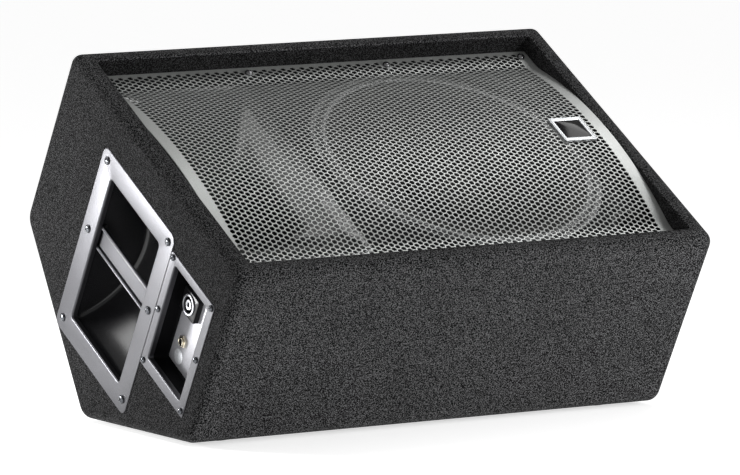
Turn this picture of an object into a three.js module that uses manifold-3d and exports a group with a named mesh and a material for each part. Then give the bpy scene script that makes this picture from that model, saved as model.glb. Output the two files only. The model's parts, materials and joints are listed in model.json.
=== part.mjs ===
// Stage monitor wedge: a carpeted plywood cabinet with a 12-inch woofer, a horn and a bar handle.
// Units are millimetres. The cabinet is drawn in its baffle frame: x runs to the right, u (the
// second axis) runs along the baffle from its low front edge to its high rear edge, and n (the
// third axis) points out of the baffle. The whole is then tilted back onto its resting face.
import * as THREE from "three";
import { mergeVertices } from "three/addons/utils/BufferGeometryUtils.js";
import Module from "manifold-3d";

const wasm = await Module();
wasm.setup();

// ---------------------------------------------------------------- driving dimensions
const WIDTH = 559; // 22 in across the cabinet
const BAFFLE = 390; // low front edge to high rear edge
const FLANK = 207.5; // the two walls square to the baffle
const TILT = Math.PI / 6; // baffle above the floor, and each base face from the baffle
const PLY = 16; // plywood of the walls
const BAFFLE_PLY = 18; // plywood of the baffle
const CARPET = 2;
const GAP = 0.3; // left between pieces that touch
const EDGE_RADIUS = 10; // long edges of the side faces
const RIM_CORNER_RADIUS = 12; // corners at both ends of the baffle
const BASE_CORNER_RADIUS = 20; // the other three corners
const RECESS_DEPTH = 21; // from the rim down to the baffle
const FOOT_HEIGHT = 4;

const WOOD_INSET = CARPET + GAP; // outer face of the plywood
const WALL = WOOD_INSET + PLY; // inner face of the plywood
const LINED_WALL = WALL + GAP + CARPET; // inner face of the carpet in the recess
const BAFFLE_FRONT = -RECESS_DEPTH;
const BAFFLE_BACK = BAFFLE_FRONT - BAFFLE_PLY;
const MID_U = BAFFLE / 2;
const PAST = 1; // how far a cutter runs past the face that it cuts

const WOOFER = { x: 361, u: MID_U, flangeRadius: 155, flange: 5, holeRadius: 143, front: -24 };
const HORN = { x: 103.5, u: MID_U, mouthWidth: 127, mouthLength: 264, depth: 110, wall: 2.8 };
const HORN_FLANGE = { width: 165, length: 300, thickness: 4, corner: 10 };
const PORT = { x: 503, fromEdge: 56, radius: 25, wall: 3, length: 100 };

// Pressed side plates: outline and opening in u and n, on the left side face.
const PLATE_THICKNESS = 1.5;
const PLATE_FRONT = -1; // outer face in x: the plate presses the carpet down
const LIP_DEPTH = 6;
const HANDLE_PLATE = {
  u: [120.8, 284], n: [-262.9, -42.9], corner: 9,
  opening: { u: [145.7, 257.7], n: [-238, -67], corner: 4 },
};
const INPUT_PLATE = {
  u: [24.3, 120.3], n: [-193, -57], corner: 2,
  opening: { u: [37, 108.6], n: [-180, -67], corner: 3 },
};
const HANDLE_SCREWS = { u: [131.5, 272], n: [-54, -138, -249] };
const INPUT_SCREWS = { u: [29.5, 115.4], n: [-61.5, -124.6, -187.5] };
const PAN_DEPTH = 65; // plate face to the deepest line of the scooped pan
const PAN_WALL = 2.3;
const DISH_DEPTH = 23.6; // plate face to the dish's floor
const SOCKET = {
  u: 90.5, n: -103, width: 31, height: 27, corner: 2.5, raised: 6.5, barrel: 11.6, length: 24,
  collar: 11, slotOuter: 9, slotInner: 5.4, bore: 2.4, slotDepth: 12,
};
const JACK = { u: 89.5, n: -148, raised: 6 };
const BAR = { n: -138, width: 28, depth: 6.5, bead: 2 };

const GRILLE = { steel: 1.2, radius: 515, fillet: 45, rise: 20, top: BAFFLE_FRONT + GAP };
const GRILLE_SIDE_GAP = 0.4; // between the sheet and the lined walls of the recess
const GRILLE_SCREWS = { x: [31.5, 197, 362.5, 528], fromEdge: 31.5 };
const HEAD_RADIUS = { handle: 4.3, input: 3.4, grille: 4.2 };
const BADGE = { x: 495, u: 197, size: 39.5, frame: 4.5, height: 2.6 };

// ---------------------------------------------------------------- materials
const material = (color, roughness, metalness = 0) =>
  new THREE.MeshStandardMaterial({ color, roughness, metalness });
const carpetFelt = material(0x2c2c30, 1);
const plywood = material(0xb08d62, 0.75);
const blackPaint = material(0x17171a, 0.7);
const greySteel = material(0x9d9ca6, 0.55, 0.3);
const grilleSteel = material(0x4a4d4e, 0.5, 0.5);
const blackPlastic = material(0x101012, 0.35);
const zincSteel = material(0xb9bcc2, 0.3, 0.9);
const blackSteel = material(0x1c1c1e, 0.5, 0.6);
const ferrite = material(0x2b2c2e, 0.8);
const pulp = material(0x26262a, 0.9);
const cloth = material(0x6b5636, 0.9);
const rubber = material(0x151515, 0.9);
const polish = material(0xc9ccd4, 0.2, 1);
const copper = material(0xa4562e, 0.35, 0.9);

// ---------------------------------------------------------------- solids
function solid(geometry) {
  const bare = geometry.index ? geometry.toNonIndexed() : geometry.clone();
  bare.deleteAttribute("normal");
  bare.deleteAttribute("uv");
  const merged = mergeVertices(bare, 1e-4);
  const vertProperties = merged.attributes.position.array;
  const triVerts = new Uint32Array(merged.index.array);
  const made = new wasm.Manifold(new wasm.Mesh({ numProp: 3, vertProperties, triVerts }));
  if (made.volume() >= 0) return made;
  return new wasm.Manifold(
    new wasm.Mesh({ numProp: 3, vertProperties, triVerts: triVerts.reverse() }),
  );
}

function piece(name, shape, look) {
  const { vertProperties, triVerts } = shape.getMesh();
  const geometry = new THREE.BufferGeometry();
  geometry.setAttribute("position", new THREE.BufferAttribute(vertProperties, 3));
  geometry.setIndex(new THREE.BufferAttribute(triVerts, 1));
  geometry.computeVertexNormals();
  const mesh = new THREE.Mesh(geometry, look);
  mesh.name = name;
  return mesh;
}

const cutAll = (body, cutters) => cutters.reduce((left, cutter) => left.subtract(cutter), body);

function block([x0, x1], [u0, u1], [n0, n1]) {
  const box = new THREE.BoxGeometry(x1 - x0, u1 - u0, n1 - n0);
  return solid(box.translate((x0 + x1) / 2, (u0 + u1) / 2, (n0 + n1) / 2));
}

// A closed outline through corner points, each corner rounded by its own radius.
function roundedOutline(points, radii) {
  const shape = new THREE.Shape();
  points.forEach((point, i) => {
    const before = points[(i + points.length - 1) % points.length];
    const after = points[(i + 1) % points.length];
    const toBefore = before.clone().sub(point).normalize();
    const toAfter = after.clone().sub(point).normalize();
    const half = Math.acos(toBefore.dot(toAfter)) / 2;
    const start = point.clone().addScaledVector(toBefore, radii[i] / Math.tan(half));
    const end = point.clone().addScaledVector(toAfter, radii[i] / Math.tan(half));
    const inward = toBefore.clone().add(toAfter).normalize();
    const centre = point.clone().addScaledVector(inward, radii[i] / Math.sin(half));
    const angle = (p) => Math.atan2(p.y - centre.y, p.x - centre.x);
    const clockwise = toBefore.cross(toAfter) > 0;
    if (i === 0) shape.moveTo(start.x, start.y);
    else shape.lineTo(start.x, start.y);
    shape.absarc(centre.x, centre.y, radii[i], angle(start), angle(end), clockwise);
  });
  shape.closePath();
  return shape;
}

function roundedRectangle([a0, a1], [b0, b1], radius) {
  const corners = [[a0, b0], [a1, b0], [a1, b1], [a0, b1]];
  return roundedOutline(corners.map(([a, b]) => new THREE.Vector2(a, b)), Array(4).fill(radius));
}

const grown = ([low, high], by) => [low - by, high + by];

// An outline in x and u, standing along n from n0 to n1.
function alongN(outline, n0, n1, curveSegments = 2) {
  const options = { depth: n1 - n0, bevelEnabled: false, curveSegments };
  return solid(new THREE.ExtrudeGeometry(outline, options).translate(0, 0, n0));
}

// Turns a shape drawn in its own x, y, z so that they become u, n and x.
const sideways = new THREE.Matrix4().makeBasis(
  new THREE.Vector3(0, 1, 0), new THREE.Vector3(0, 0, 1), new THREE.Vector3(1, 0, 0),
);

// An outline in u and n, running along x from x0 to x1.
function alongX(outline, x0, x1, curveSegments = 2) {
  const options = { depth: x1 - x0, bevelEnabled: false, curveSegments };
  const geometry = new THREE.ExtrudeGeometry(outline, options).translate(0, 0, x0);
  return solid(geometry.applyMatrix4(sideways));
}

// A turned piece around a line along n. The profile lists [radius, n].
function turnedN(profile, x, u, segments = 40) {
  const points = profile.map(([radius, n]) => new THREE.Vector2(radius, n));
  return solid(new THREE.LatheGeometry(points, segments).rotateX(Math.PI / 2).translate(x, u, 0));
}

// A turned piece around a line along x. The profile lists [radius, x].
function turnedX(profile, u, n, segments = 24) {
  const points = profile.map(([radius, x]) => new THREE.Vector2(radius, x));
  return solid(new THREE.LatheGeometry(points, segments).rotateZ(-Math.PI / 2).translate(0, u, n));
}

const rod = (radius, from, to) => [[0, from], [radius, from], [radius, to], [0, to]];
const ring = (inner, outer, from, to) =>
  [[inner, from], [outer, from], [outer, to], [inner, to], [inner, from]];

// ---------------------------------------------------------------- cabinet
// Corners of the side outline in u and n, moved inwards, from the low front edge round the back.
function profileCorners(inset) {
  const apex = -FLANK - (BAFFLE / 2) * Math.tan(TILT);
  const outer = [[0, 0], [0, -FLANK], [MID_U, apex], [BAFFLE, -FLANK], [BAFFLE, 0]];
  const corners = outer.map(([u, n]) => new THREE.Vector2(u, n));
  return corners.map((corner, i) => {
    const toBefore = corners[(i + 4) % 5].clone().sub(corner).normalize();
    const toAfter = corners[(i + 1) % 5].clone().sub(corner).normalize();
    const half = Math.acos(toBefore.dot(toAfter)) / 2;
    return corner.clone().addScaledVector(toBefore.add(toAfter).normalize(), inset / Math.sin(half));
  });
}

// The cabinet's rounded outside, shrunk on every side.
function cabinetBody(inset) {
  const radii = [RIM_CORNER_RADIUS, BASE_CORNER_RADIUS, BASE_CORNER_RADIUS, BASE_CORNER_RADIUS,
    RIM_CORNER_RADIUS].map((radius) => radius - inset);
  const edge = EDGE_RADIUS - inset;
  const options = {
    depth: WIDTH - 2 * inset - 2 * edge, curveSegments: 2, bevelEnabled: true,
    bevelThickness: edge, bevelSize: edge, bevelOffset: -edge, bevelSegments: 3,
  };
  const geometry = new THREE.ExtrudeGeometry(roundedOutline(profileCorners(inset), radii), options);
  return solid(geometry.translate(0, 0, inset + edge).applyMatrix4(sideways));
}

const wood = cabinetBody(WOOD_INSET);
const INSIDE_X = [WALL + GAP, WIDTH - WALL - GAP];
const WHOLE_SIDE = { u: [-10, BAFFLE + 10], n: [-340, 10] }; // clears the side outline all round

// One plywood wall between the side panels, mitred where it meets a neighbour. The slab starts
// larger than the wall all round, and the rounded wood trims it.
function wallPanel(first, second) {
  const spare = 5;
  const mitreGap = GAP * 0.7; // each panel draws back this far along its length
  const outer = profileCorners(-spare);
  const inner = profileCorners(WALL);
  const along = inner[second].clone().sub(inner[first]).normalize().multiplyScalar(mitreGap);
  const end = (index, sign) => {
    const isRim = index === 0 || index === 4;
    const inside = isRim ? new THREE.Vector2(inner[index].x, spare) : inner[index].clone();
    const outside = outer[index].clone();
    return [outside, inside].map((p) => (isRim ? p : p.addScaledVector(along, sign)));
  };
  const [outsideA, insideA] = end(first, 1);
  const [outsideB, insideB] = end(second, -1);
  const slab = alongX(new THREE.Shape([outsideA, outsideB, insideB, insideA]), ...INSIDE_X);
  return slab.intersect(wood);
}

const plateOutline = (plate, by = 0) =>
  roundedRectangle(grown(plate.u, by), grown(plate.n, by), plate.corner + Math.max(by, 0));
const openingOutline = ({ opening }, by) =>
  roundedRectangle(grown(opening.u, by), grown(opening.n, by), opening.corner + by);

const CUP_MOUTH = PLATE_THICKNESS + GAP + 0.1; // cup's inner wall outside the plate's opening
const CUP_OUTSIDE = CUP_MOUTH + PAN_WALL;
const CUP_FLANGE_INSET = 1; // the cup's flange stays inside the plate's outline
const CUP_FLANGE_X = [PLATE_FRONT + PLATE_THICKNESS + GAP, CARPET];

const screwPlaces = ({ u, n }) => n.flatMap((row) => u.map((column) => [column, row]));
const SHANK_RADIUS = 1.8;
const SHANK_END = 15;
const screwHoles = (places, x0, x1) =>
  places.map(([u, n]) => turnedX(rod(SHANK_RADIUS + GAP, x0, x1), u, n, 8));

// The flange of a cup, caught between its plate and the side panel, with the holes for the screws.
function cupFlange(plate, screws) {
  const sheet = alongX(plateOutline(plate, -CUP_FLANGE_INSET), ...CUP_FLANGE_X);
  return cutAll(sheet, screwHoles(screwPlaces(screws), CUP_FLANGE_X[0] - PAST, CUP_FLANGE_X[1] + PAST));
}

function cupHole(plate) {
  return alongX(openingOutline(plate, CUP_OUTSIDE + GAP), -PAST, WALL + PAST);
}

function leftPanel() {
  const panel = wood.intersect(block([0, WALL], WHOLE_SIDE.u, WHOLE_SIDE.n));
  const places = [...screwPlaces(HANDLE_SCREWS), ...screwPlaces(INPUT_SCREWS)];
  const holes = screwHoles(places, 0, SHANK_END + GAP);
  return cutAll(panel, [cupHole(HANDLE_PLATE), cupHole(INPUT_PLATE), ...holes]);
}

function grilleScrewHoles(n0, n1) {
  const places = GRILLE_SCREWS.x.flatMap((x) =>
    [GRILLE_SCREWS.fromEdge, BAFFLE - GRILLE_SCREWS.fromEdge].map((u) => [x, u]));
  return places.map(([x, u]) => turnedN(rod(SHANK_RADIUS + GAP, n0, n1), x, u, 8));
}

const BLIND_END = BAFFLE_BACK + 2; // end of the grille screws' blind holes

function baffleBoard() {
  const board = block(INSIDE_X, [WALL + GAP, BAFFLE - WALL - GAP], [BAFFLE_BACK, BAFFLE_FRONT]);
  const wooferRebate = WOOFER.front - WOOFER.flange - GAP;
  const hornRebate = BAFFLE_FRONT - HORN_FLANGE.thickness - 2 * GAP;
  const hornClear = HORN.wall + 1.7; // from the mouth's inner face to the edge of its hole
  const hornHole = roundedRectangle(
    grown([HORN.x, HORN.x], HORN.mouthWidth / 2 + hornClear),
    grown([HORN.u, HORN.u], HORN.mouthLength / 2 + hornClear), 8);
  const flangeBed = roundedRectangle(
    grown([HORN.x, HORN.x], HORN_FLANGE.width / 2 + GAP),
    grown([HORN.u, HORN.u], HORN_FLANGE.length / 2 + GAP), HORN_FLANGE.corner);
  const ports = [PORT.fromEdge, BAFFLE - PORT.fromEdge].map((u) =>
    turnedN(rod(PORT.radius + PORT.wall + GAP, BAFFLE_BACK - PAST, BAFFLE_FRONT + PAST), PORT.x, u, 24));
  return cutAll(board, [
    turnedN(rod(WOOFER.holeRadius, BAFFLE_BACK - PAST, BAFFLE_FRONT + PAST), WOOFER.x, WOOFER.u, 36),
    turnedN(rod(WOOFER.flangeRadius + 1, wooferRebate, BAFFLE_FRONT + PAST), WOOFER.x, WOOFER.u, 36),
    alongN(hornHole, BAFFLE_BACK - PAST, BAFFLE_FRONT + PAST),
    alongN(flangeBed, hornRebate, BAFFLE_FRONT + PAST),
    ...ports,
    ...grilleScrewHoles(BLIND_END, BAFFLE_FRONT + PAST),
  ]);
}

// One skin over the whole outside that folds over the rim and lines the recess down to the baffle.
// It is cut out under the two side plates.
function carpetCover() {
  const recess = (by, n0, n1) =>
    block([LINED_WALL - by, WIDTH - LINED_WALL + by], [LINED_WALL - by, BAFFLE - LINED_WALL + by],
      [n0, n1]);
  const skin = cabinetBody(0).subtract(cabinetBody(CARPET));
  const lining = recess(CARPET, BAFFLE_FRONT + GAP, -CARPET / 2);
  const cutOut = (plate) => alongX(plateOutline(plate, GAP), -5, CARPET + 1);
  return cutAll(skin.add(lining),
    [recess(0, BAFFLE_FRONT, 5), cutOut(HANDLE_PLATE), cutOut(INPUT_PLATE)]);
}

function cabinetPieces() {
  const rightSide = wood.intersect(
    block([WIDTH - WALL, WIDTH], WHOLE_SIDE.u, WHOLE_SIDE.n));
  return [
    piece("side_panel_left", leftPanel(), plywood),
    piece("side_panel_right", rightSide, plywood),
    piece("front_panel", wallPanel(0, 1), plywood),
    piece("bottom_panel", wallPanel(1, 2), plywood),
    piece("lower_rear_panel", wallPanel(2, 3), plywood),
    piece("upper_rear_panel", wallPanel(3, 4), plywood),
    piece("baffle_board", baffleBoard(), blackPaint),
    piece("carpet_cover", carpetCover(), carpetFelt),
  ];
}

// ---------------------------------------------------------------- grille and badge
// Half of the arch from its crown: an arc, a reverse arc, then the flat flange, as [v, height].
function grilleHalf(offset) {
  const { radius, fillet, rise } = GRILLE;
  const sweep = Math.acos(1 - rise / (radius + fillet));
  const crown = Array.from({ length: 9 }, (_, i) => (sweep * i) / 8);
  const foot = Array.from({ length: 4 }, (_, i) => sweep * (1 - (i + 1) / 4));
  const reach = (radius + fillet) * Math.sin(sweep);
  return [
    ...crown.map((a) => [
      (radius + offset) * Math.sin(a), rise - radius + (radius + offset) * Math.cos(a)]),
    ...foot.map((a) => [
      reach - (fillet - offset) * Math.sin(a), fillet - (fillet - offset) * Math.cos(a)]),
    [MID_U - LINED_WALL - GRILLE_SIDE_GAP, offset],
  ];
}

function grilleSheet() {
  const place = ([v, height]) => new THREE.Vector2(MID_U + v, GRILLE.top + height);
  const mirrored = (half) => half.slice(1).map(([v, height]) => [-v, height]).reverse();
  const face = grilleHalf(GRILLE.steel);
  const back = grilleHalf(0);
  const outline = [...mirrored(face), ...face].map(place);
  const under = [...mirrored(back), ...back].map(place).reverse();
  const sheet = alongX(new THREE.Shape([...outline, ...under]),
    LINED_WALL + GRILLE_SIDE_GAP, WIDTH - LINED_WALL - GRILLE_SIDE_GAP);
  return cutAll(sheet, grilleScrewHoles(GRILLE.top - PAST, GRILLE.top + GRILLE.steel + PAST));
}

function grilleScrew() {
  const seat = GRILLE.top + GRILLE.steel + GAP;
  const end = BLIND_END + GAP;
  const radius = HEAD_RADIUS.grille;
  return [[0, end], [SHANK_RADIUS, end], [SHANK_RADIUS, seat], [radius, seat],
    [radius * 0.95, seat + 2], [radius * 0.57, seat + 3.6], [0, seat + 4]];
}

function badgePieces() {
  const seat = GRILLE.top + GRILLE.rise + GRILLE.steel + GAP;
  const half = BADGE.size / 2;
  const square = (by) =>
    roundedRectangle(grown([BADGE.x, BADGE.x], by), grown([BADGE.u, BADGE.u], by), 1.5);
  const frame = alongN(square(half), seat, seat + BADGE.height)
    .subtract(alongN(square(half - BADGE.frame), seat - PAST, seat + BADGE.height + PAST));
  const face = alongN(square(half - BADGE.frame - GAP), seat, seat + BADGE.height - 0.8);
  return [piece("badge_frame", frame, polish), piece("badge_face", face, blackPlastic)];
}

function grillePieces() {
  const screws = [["front", GRILLE_SCREWS.fromEdge], ["rear", BAFFLE - GRILLE_SCREWS.fromEdge]]
    .flatMap(([edge, u]) => GRILLE_SCREWS.x.map((x, i) =>
      piece(`grille_screw_${edge}_${i + 1}`, turnedN(grilleScrew(), x, u, 8), blackSteel)));
  return [piece("grille", grilleSheet(), grilleSteel), ...badgePieces(), ...screws];
}

// ---------------------------------------------------------------- side plates
function sidePlate(plate, screws) {
  const back = PLATE_FRONT + PLATE_THICKNESS;
  const sheet = alongX(plateOutline(plate), PLATE_FRONT, back);
  const lip = alongX(openingOutline(plate, PLATE_THICKNESS), PLATE_FRONT, PLATE_FRONT + LIP_DEPTH);
  const opening = alongX(
    openingOutline(plate, 0), PLATE_FRONT - PAST, PLATE_FRONT + LIP_DEPTH + PAST);
  const holes = screwHoles(screwPlaces(screws), PLATE_FRONT - PAST, back + PAST);
  return cutAll(sheet.add(lip), [opening, ...holes]);
}

function plateScrews(name, { u, n }, headRadius) {
  const rows = ["top", "middle", "bottom"];
  const columns = ["front", "rear"];
  const seat = PLATE_FRONT - GAP;
  const profile = [[0, seat - 2.2], [headRadius * 0.55, seat - 2], [headRadius, seat - 0.9],
    [headRadius, seat], [SHANK_RADIUS, seat], [SHANK_RADIUS, SHANK_END], [0, SHANK_END]];
  return n.slice().sort((a, b) => b - a).flatMap((row, i) => u.map((column, j) =>
    piece(`${name}_${rows[i]}_${columns[j]}`, turnedX(profile, column, row, 8), zincSteel)));
}

// The pan behind the handle: flat end walls and a back scooped round a line along u.
function handlePan() {
  const { opening } = HANDLE_PLATE;
  const floor = PLATE_FRONT + PAN_DEPTH;
  const scoop = (by, start) => {
    const [low, high] = grown(opening.n, CUP_MOUTH + by);
    const half = (high - low) / 2;
    const straight = LIP_DEPTH + 1;
    const deep = floor + by - straight;
    const radius = (half * half + deep * deep) / (2 * deep);
    const sweep = Math.asin(half / radius);
    const steps = Array.from({ length: 17 }, (_, i) => sweep * ((2 * i) / 16 - 1));
    const arc = steps.map((a) => new THREE.Vector2(
      straight + deep - radius + radius * Math.cos(a), (low + high) / 2 + radius * Math.sin(a)));
    const outline = [new THREE.Vector2(start, low), ...arc, new THREE.Vector2(start, high)];
    const [u0, u1] = grown(opening.u, CUP_MOUTH + by);
    const options = { depth: u1 - u0, bevelEnabled: false };
    const geometry = new THREE.ExtrudeGeometry(new THREE.Shape(outline), options);
    const turn = new THREE.Matrix4().makeBasis(
      new THREE.Vector3(1, 0, 0), new THREE.Vector3(0, 0, 1), new THREE.Vector3(0, -1, 0));
    return solid(geometry.applyMatrix4(turn).translate(0, u1, 0));
  };
  const corners = alongX(openingOutline(HANDLE_PLATE, CUP_OUTSIDE), -5, floor + PAN_WALL + 1);
  const shell = scoop(PAN_WALL, CUP_FLANGE_X[0]).intersect(corners)
    .add(cupFlange(HANDLE_PLATE, HANDLE_SCREWS));
  return shell.subtract(scoop(0, -5));
}

function inputDish() {
  const floor = PLATE_FRONT + DISH_DEPTH;
  const cup = alongX(openingOutline(INPUT_PLATE, CUP_OUTSIDE), CUP_FLANGE_X[0], floor + PAN_WALL);
  const inside = alongX(openingOutline(INPUT_PLATE, CUP_MOUTH), -5, floor);
  const socketHole = turnedX(rod(12, floor - 1, floor + PAN_WALL + 1), SOCKET.u, SOCKET.n, 20);
  const jackHole = turnedX(rod(5, floor - 1, floor + PAN_WALL + 1), JACK.u, JACK.n, 12);
  const shell = cup.add(cupFlange(INPUT_PLATE, INPUT_SCREWS));
  return cutAll(shell, [inside, socketHole, jackHole]);
}

function handleBar() {
  const { opening } = HANDLE_PLATE;
  const [u0, u1] = grown(opening.u, -GAP);
  const web = PLATE_FRONT + BAR.depth;
  const half = BAR.width / 2;
  const bead = (n) => new THREE.CylinderGeometry(BAR.bead, BAR.bead, u1 - u0, 12)
    .translate(web - 0.6, (u0 + u1) / 2, n);
  const tab = (from, to) =>
    block([PLATE_FRONT + 1.5, web + 1.5], [from, to], [BAR.n - half + 4, BAR.n + half - 4]);
  return block([web, web + 1.5], [u0, u1], [BAR.n - half + BAR.bead, BAR.n + half - BAR.bead])
    .add(solid(bead(BAR.n - half + BAR.bead)))
    .add(solid(bead(BAR.n + half - BAR.bead)))
    .add(tab(u0, u0 + 1.5))
    .add(tab(u1 - 1.5, u1));
}

// Round four-pole socket: a square flange, a barrel behind it, and ring slots in its face.
function speakerSocket() {
  const floor = PLATE_FRONT + DISH_DEPTH;
  const front = floor - SOCKET.raised;
  const { u, n, width, height, corner, barrel, length, collar, slotOuter, slotInner, bore } = SOCKET;
  const turned = (profile, segments = 16) => turnedX(profile, u, n, segments);
  const square = roundedRectangle(grown([u, u], width / 2), grown([n, n], height / 2), corner);
  const open = front - 3; // in front of everything on the socket's face
  const slotEnd = floor + SOCKET.slotDepth;
  return cutAll(
    alongX(square, front, floor - GAP)
      .add(turned(rod(barrel, floor - 1, floor + length)))
      .add(turned(ring(slotOuter, collar, front - 1.6, front + 1)))
      .add(turned(ring(bore, slotInner, front - 1, front + 1))),
    [turned(ring(slotInner, slotOuter, open, slotEnd)), turned(rod(bore, open, slotEnd), 12)]);
}

function jackSocket() {
  const floor = PLATE_FRONT + DISH_DEPTH;
  const back = floor + PAN_WALL + GAP;
  const front = floor - JACK.raised;
  const profile = [[3.3, front], [4.4, front], [4.4, floor - 3.4], [6.6, floor - 3.2],
    [6.6, floor - GAP], [4.6, floor - GAP], [4.6, back], [9, back], [9, back + 20],
    [3.3, back + 20], [3.3, front]];
  return turnedX(profile, JACK.u, JACK.n, 16);
}

function sidePieces() {
  return [
    piece("handle_plate", sidePlate(HANDLE_PLATE, HANDLE_SCREWS), greySteel),
    piece("handle_pan", handlePan(), blackPlastic),
    piece("handle_bar", handleBar(), greySteel),
    ...plateScrews("handle_screw", HANDLE_SCREWS, HEAD_RADIUS.handle),
    piece("input_plate", sidePlate(INPUT_PLATE, INPUT_SCREWS), greySteel),
    piece("input_dish", inputDish(), blackPlastic),
    ...plateScrews("input_screw", INPUT_SCREWS, HEAD_RADIUS.input),
    piece("speaker_socket", speakerSocket(), blackPlastic),
    piece("jack_socket", jackSocket(), polish),
  ];
}

// ---------------------------------------------------------------- woofer
const CONE = { neck: 26.2, edge: 121.7, neckN: -76, edgeN: -28, paper: 1.5 };
const POLE_RADIUS = 24.6;
const COIL = { inner: 25.4, outer: 27.6, from: -112, to: -98 };
const PLATE_TOP = -101.3; // front of the top plate

// The pressed frame with its windows, and the top plate staked into its floor.
function wooferBasket() {
  const { front, flange, flangeRadius } = WOOFER;
  const back = front - flange;
  const profile = [
    [139.5, front - 1.5], [139.5, front], [flangeRadius, front], [flangeRadius, back], [142, back],
    [139, back - 20], [92, back - 52], [84, PLATE_TOP + GAP], [30, PLATE_TOP + GAP],
    [30, PLATE_TOP + GAP + 3], [80, PLATE_TOP + GAP + 3], [88, back - 51], [136, back - 18],
    [138, front - 1.5], [139.5, front - 1.5]];
  const body = turnedN(profile, WOOFER.x, WOOFER.u, 36);
  const windows = Array.from({ length: 6 }, (_, i) => {
    const window = new THREE.BoxGeometry(90, 62, 36).translate(120, 0, back - 38);
    return solid(window.rotateZ((i * Math.PI) / 3).translate(WOOFER.x, WOOFER.u, 0));
  });
  const topPlate = turnedN(
    ring(28.6, 68, PLATE_TOP - 8, PLATE_TOP + GAP + 0.5), WOOFER.x, WOOFER.u, 32);
  return cutAll(body, windows).add(topPlate);
}

function wooferCone() {
  const { neck, edge, neckN, edgeN, paper } = CONE;
  const profile = [
    [neck, neckN + paper], [edge, edgeN + paper], [edge, edgeN], [neck + 1.2, neckN - 1],
    [neck + 0.2, neckN - 1.2], [neck + 0.2, COIL.to], [COIL.outer, COIL.to],
    [COIL.outer, COIL.from], [COIL.inner, COIL.from], [COIL.inner, neckN + paper],
    [neck, neckN + paper]];
  return turnedN(profile, WOOFER.x, WOOFER.u, 36);
}

function coneTop(radius) {
  const slope = (CONE.edgeN - CONE.neckN) / (CONE.edge - CONE.neck);
  return CONE.neckN + CONE.paper + (radius - CONE.neck) * slope;
}

function dustCap() {
  const radius = 44;
  const rise = 13;
  const base = coneTop(radius) + GAP;
  const angles = Array.from({ length: 6 }, (_, i) => (Math.PI / 2) * (i / 5));
  const dome = (r, h) => angles.map((a) => [r * Math.cos(a), base + h * Math.sin(a)]);
  const skin = [...dome(radius, rise), ...dome(radius - 1.2, rise - 1.2).reverse()];
  return turnedN([...skin, skin[0]], WOOFER.x, WOOFER.u, 24);
}

// A folded annular sheet between two radii, its middle line sloping from one height to the other.
function foldedRing(inner, outer, innerN, outerN, fold, folds, sheet, segments) {
  const steps = folds * 2 + 1;
  const line = Array.from({ length: steps + 1 }, (_, i) => {
    const t = i / steps;
    const isFold = i > 0 && i < steps;
    const wave = isFold ? fold * (i % 2 ? 1 : -1) : 0;
    return [inner + (outer - inner) * t, innerN + (outerN - innerN) * t + wave];
  });
  const under = line.map(([radius, n]) => [radius, n - sheet]).reverse();
  return turnedN([...line, ...under, line[0]], WOOFER.x, WOOFER.u, segments);
}

function wooferPieces() {
  const { x, u, front } = WOOFER;
  const plateBack = PLATE_TOP - 8;
  const magnetBack = plateBack - GAP - 20;
  const yokeBack = magnetBack - GAP - 9;
  const yoke = [[9, yokeBack], [70, yokeBack], [70, magnetBack - GAP], [POLE_RADIUS, magnetBack - GAP],
    [POLE_RADIUS, PLATE_TOP], [9, PLATE_TOP], [9, yokeBack]];
  const surround = foldedRing(
    CONE.edge + GAP, 137.2, CONE.edgeN + 1.2, front - 0.4, 1.4, 1, 1, 36);
  const spider = foldedRing(28, 78, -84, -91, 1.3, 4, 0.8, 24);
  return [
    piece("woofer_basket", wooferBasket(), blackSteel),
    piece("woofer_magnet", turnedN(ring(40, 75, magnetBack, plateBack - GAP), x, u, 32), ferrite),
    piece("woofer_yoke", turnedN(yoke, x, u, 32), zincSteel),
    piece("woofer_cone", wooferCone(), pulp),
    piece("woofer_dust_cap", dustCap(), pulp),
    piece("woofer_surround", surround, cloth),
    piece("woofer_spider", spider, cloth),
  ];
}

// ---------------------------------------------------------------- horn, driver and ports
// Outline of the horn at a depth below its mouth, wider by the given wall.
function hornSection(depth, wall) {
  const throat = 12.7;
  const flare = Math.pow(1 - depth / HORN.depth, 1.5);
  const halfWidth = throat + (HORN.mouthWidth / 2 - throat) * flare + wall;
  const halfLength = throat + (HORN.mouthLength / 2 - throat) * flare + wall;
  const squareness = 2 + 10 * Math.min(1, flare * 4);
  const corners = 24;
  return Array.from({ length: corners }, (_, i) => {
    const angle = (2 * Math.PI * (i + 0.5)) / corners;
    const c = Math.cos(angle);
    const s = Math.sin(angle);
    const reach = (Math.abs(c) ** squareness + Math.abs(s) ** squareness) ** (-1 / squareness);
    return [HORN.x + halfWidth * c * reach, HORN.u + halfLength * s * reach];
  });
}

// A closed skin through matching outlines stacked along n, capped at both ends.
function loft(sections) {
  const count = sections[0].outline.length;
  const rows = sections.map(({ outline, n }) => outline.map(([x, u]) => new THREE.Vector3(x, u, n)));
  const triangles = [];
  for (let row = 0; row + 1 < rows.length; row += 1) {
    for (let i = 0; i < count; i += 1) {
      const next = (i + 1) % count;
      triangles.push(rows[row][i], rows[row][next], rows[row + 1][i]);
      triangles.push(rows[row][next], rows[row + 1][next], rows[row + 1][i]);
    }
  }
  [rows[0], rows[rows.length - 1]].forEach((loop, end) => {
    for (let i = 1; i + 1 < count; i += 1) {
      triangles.push(...(end ? [loop[0], loop[i], loop[i + 1]] : [loop[0], loop[i + 1], loop[i]]));
    }
  });
  return solid(new THREE.BufferGeometry().setFromPoints(triangles));
}

const HORN_FRONT = BAFFLE_FRONT - GAP;
const HORN_BACK = HORN_FRONT - HORN.depth;

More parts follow.
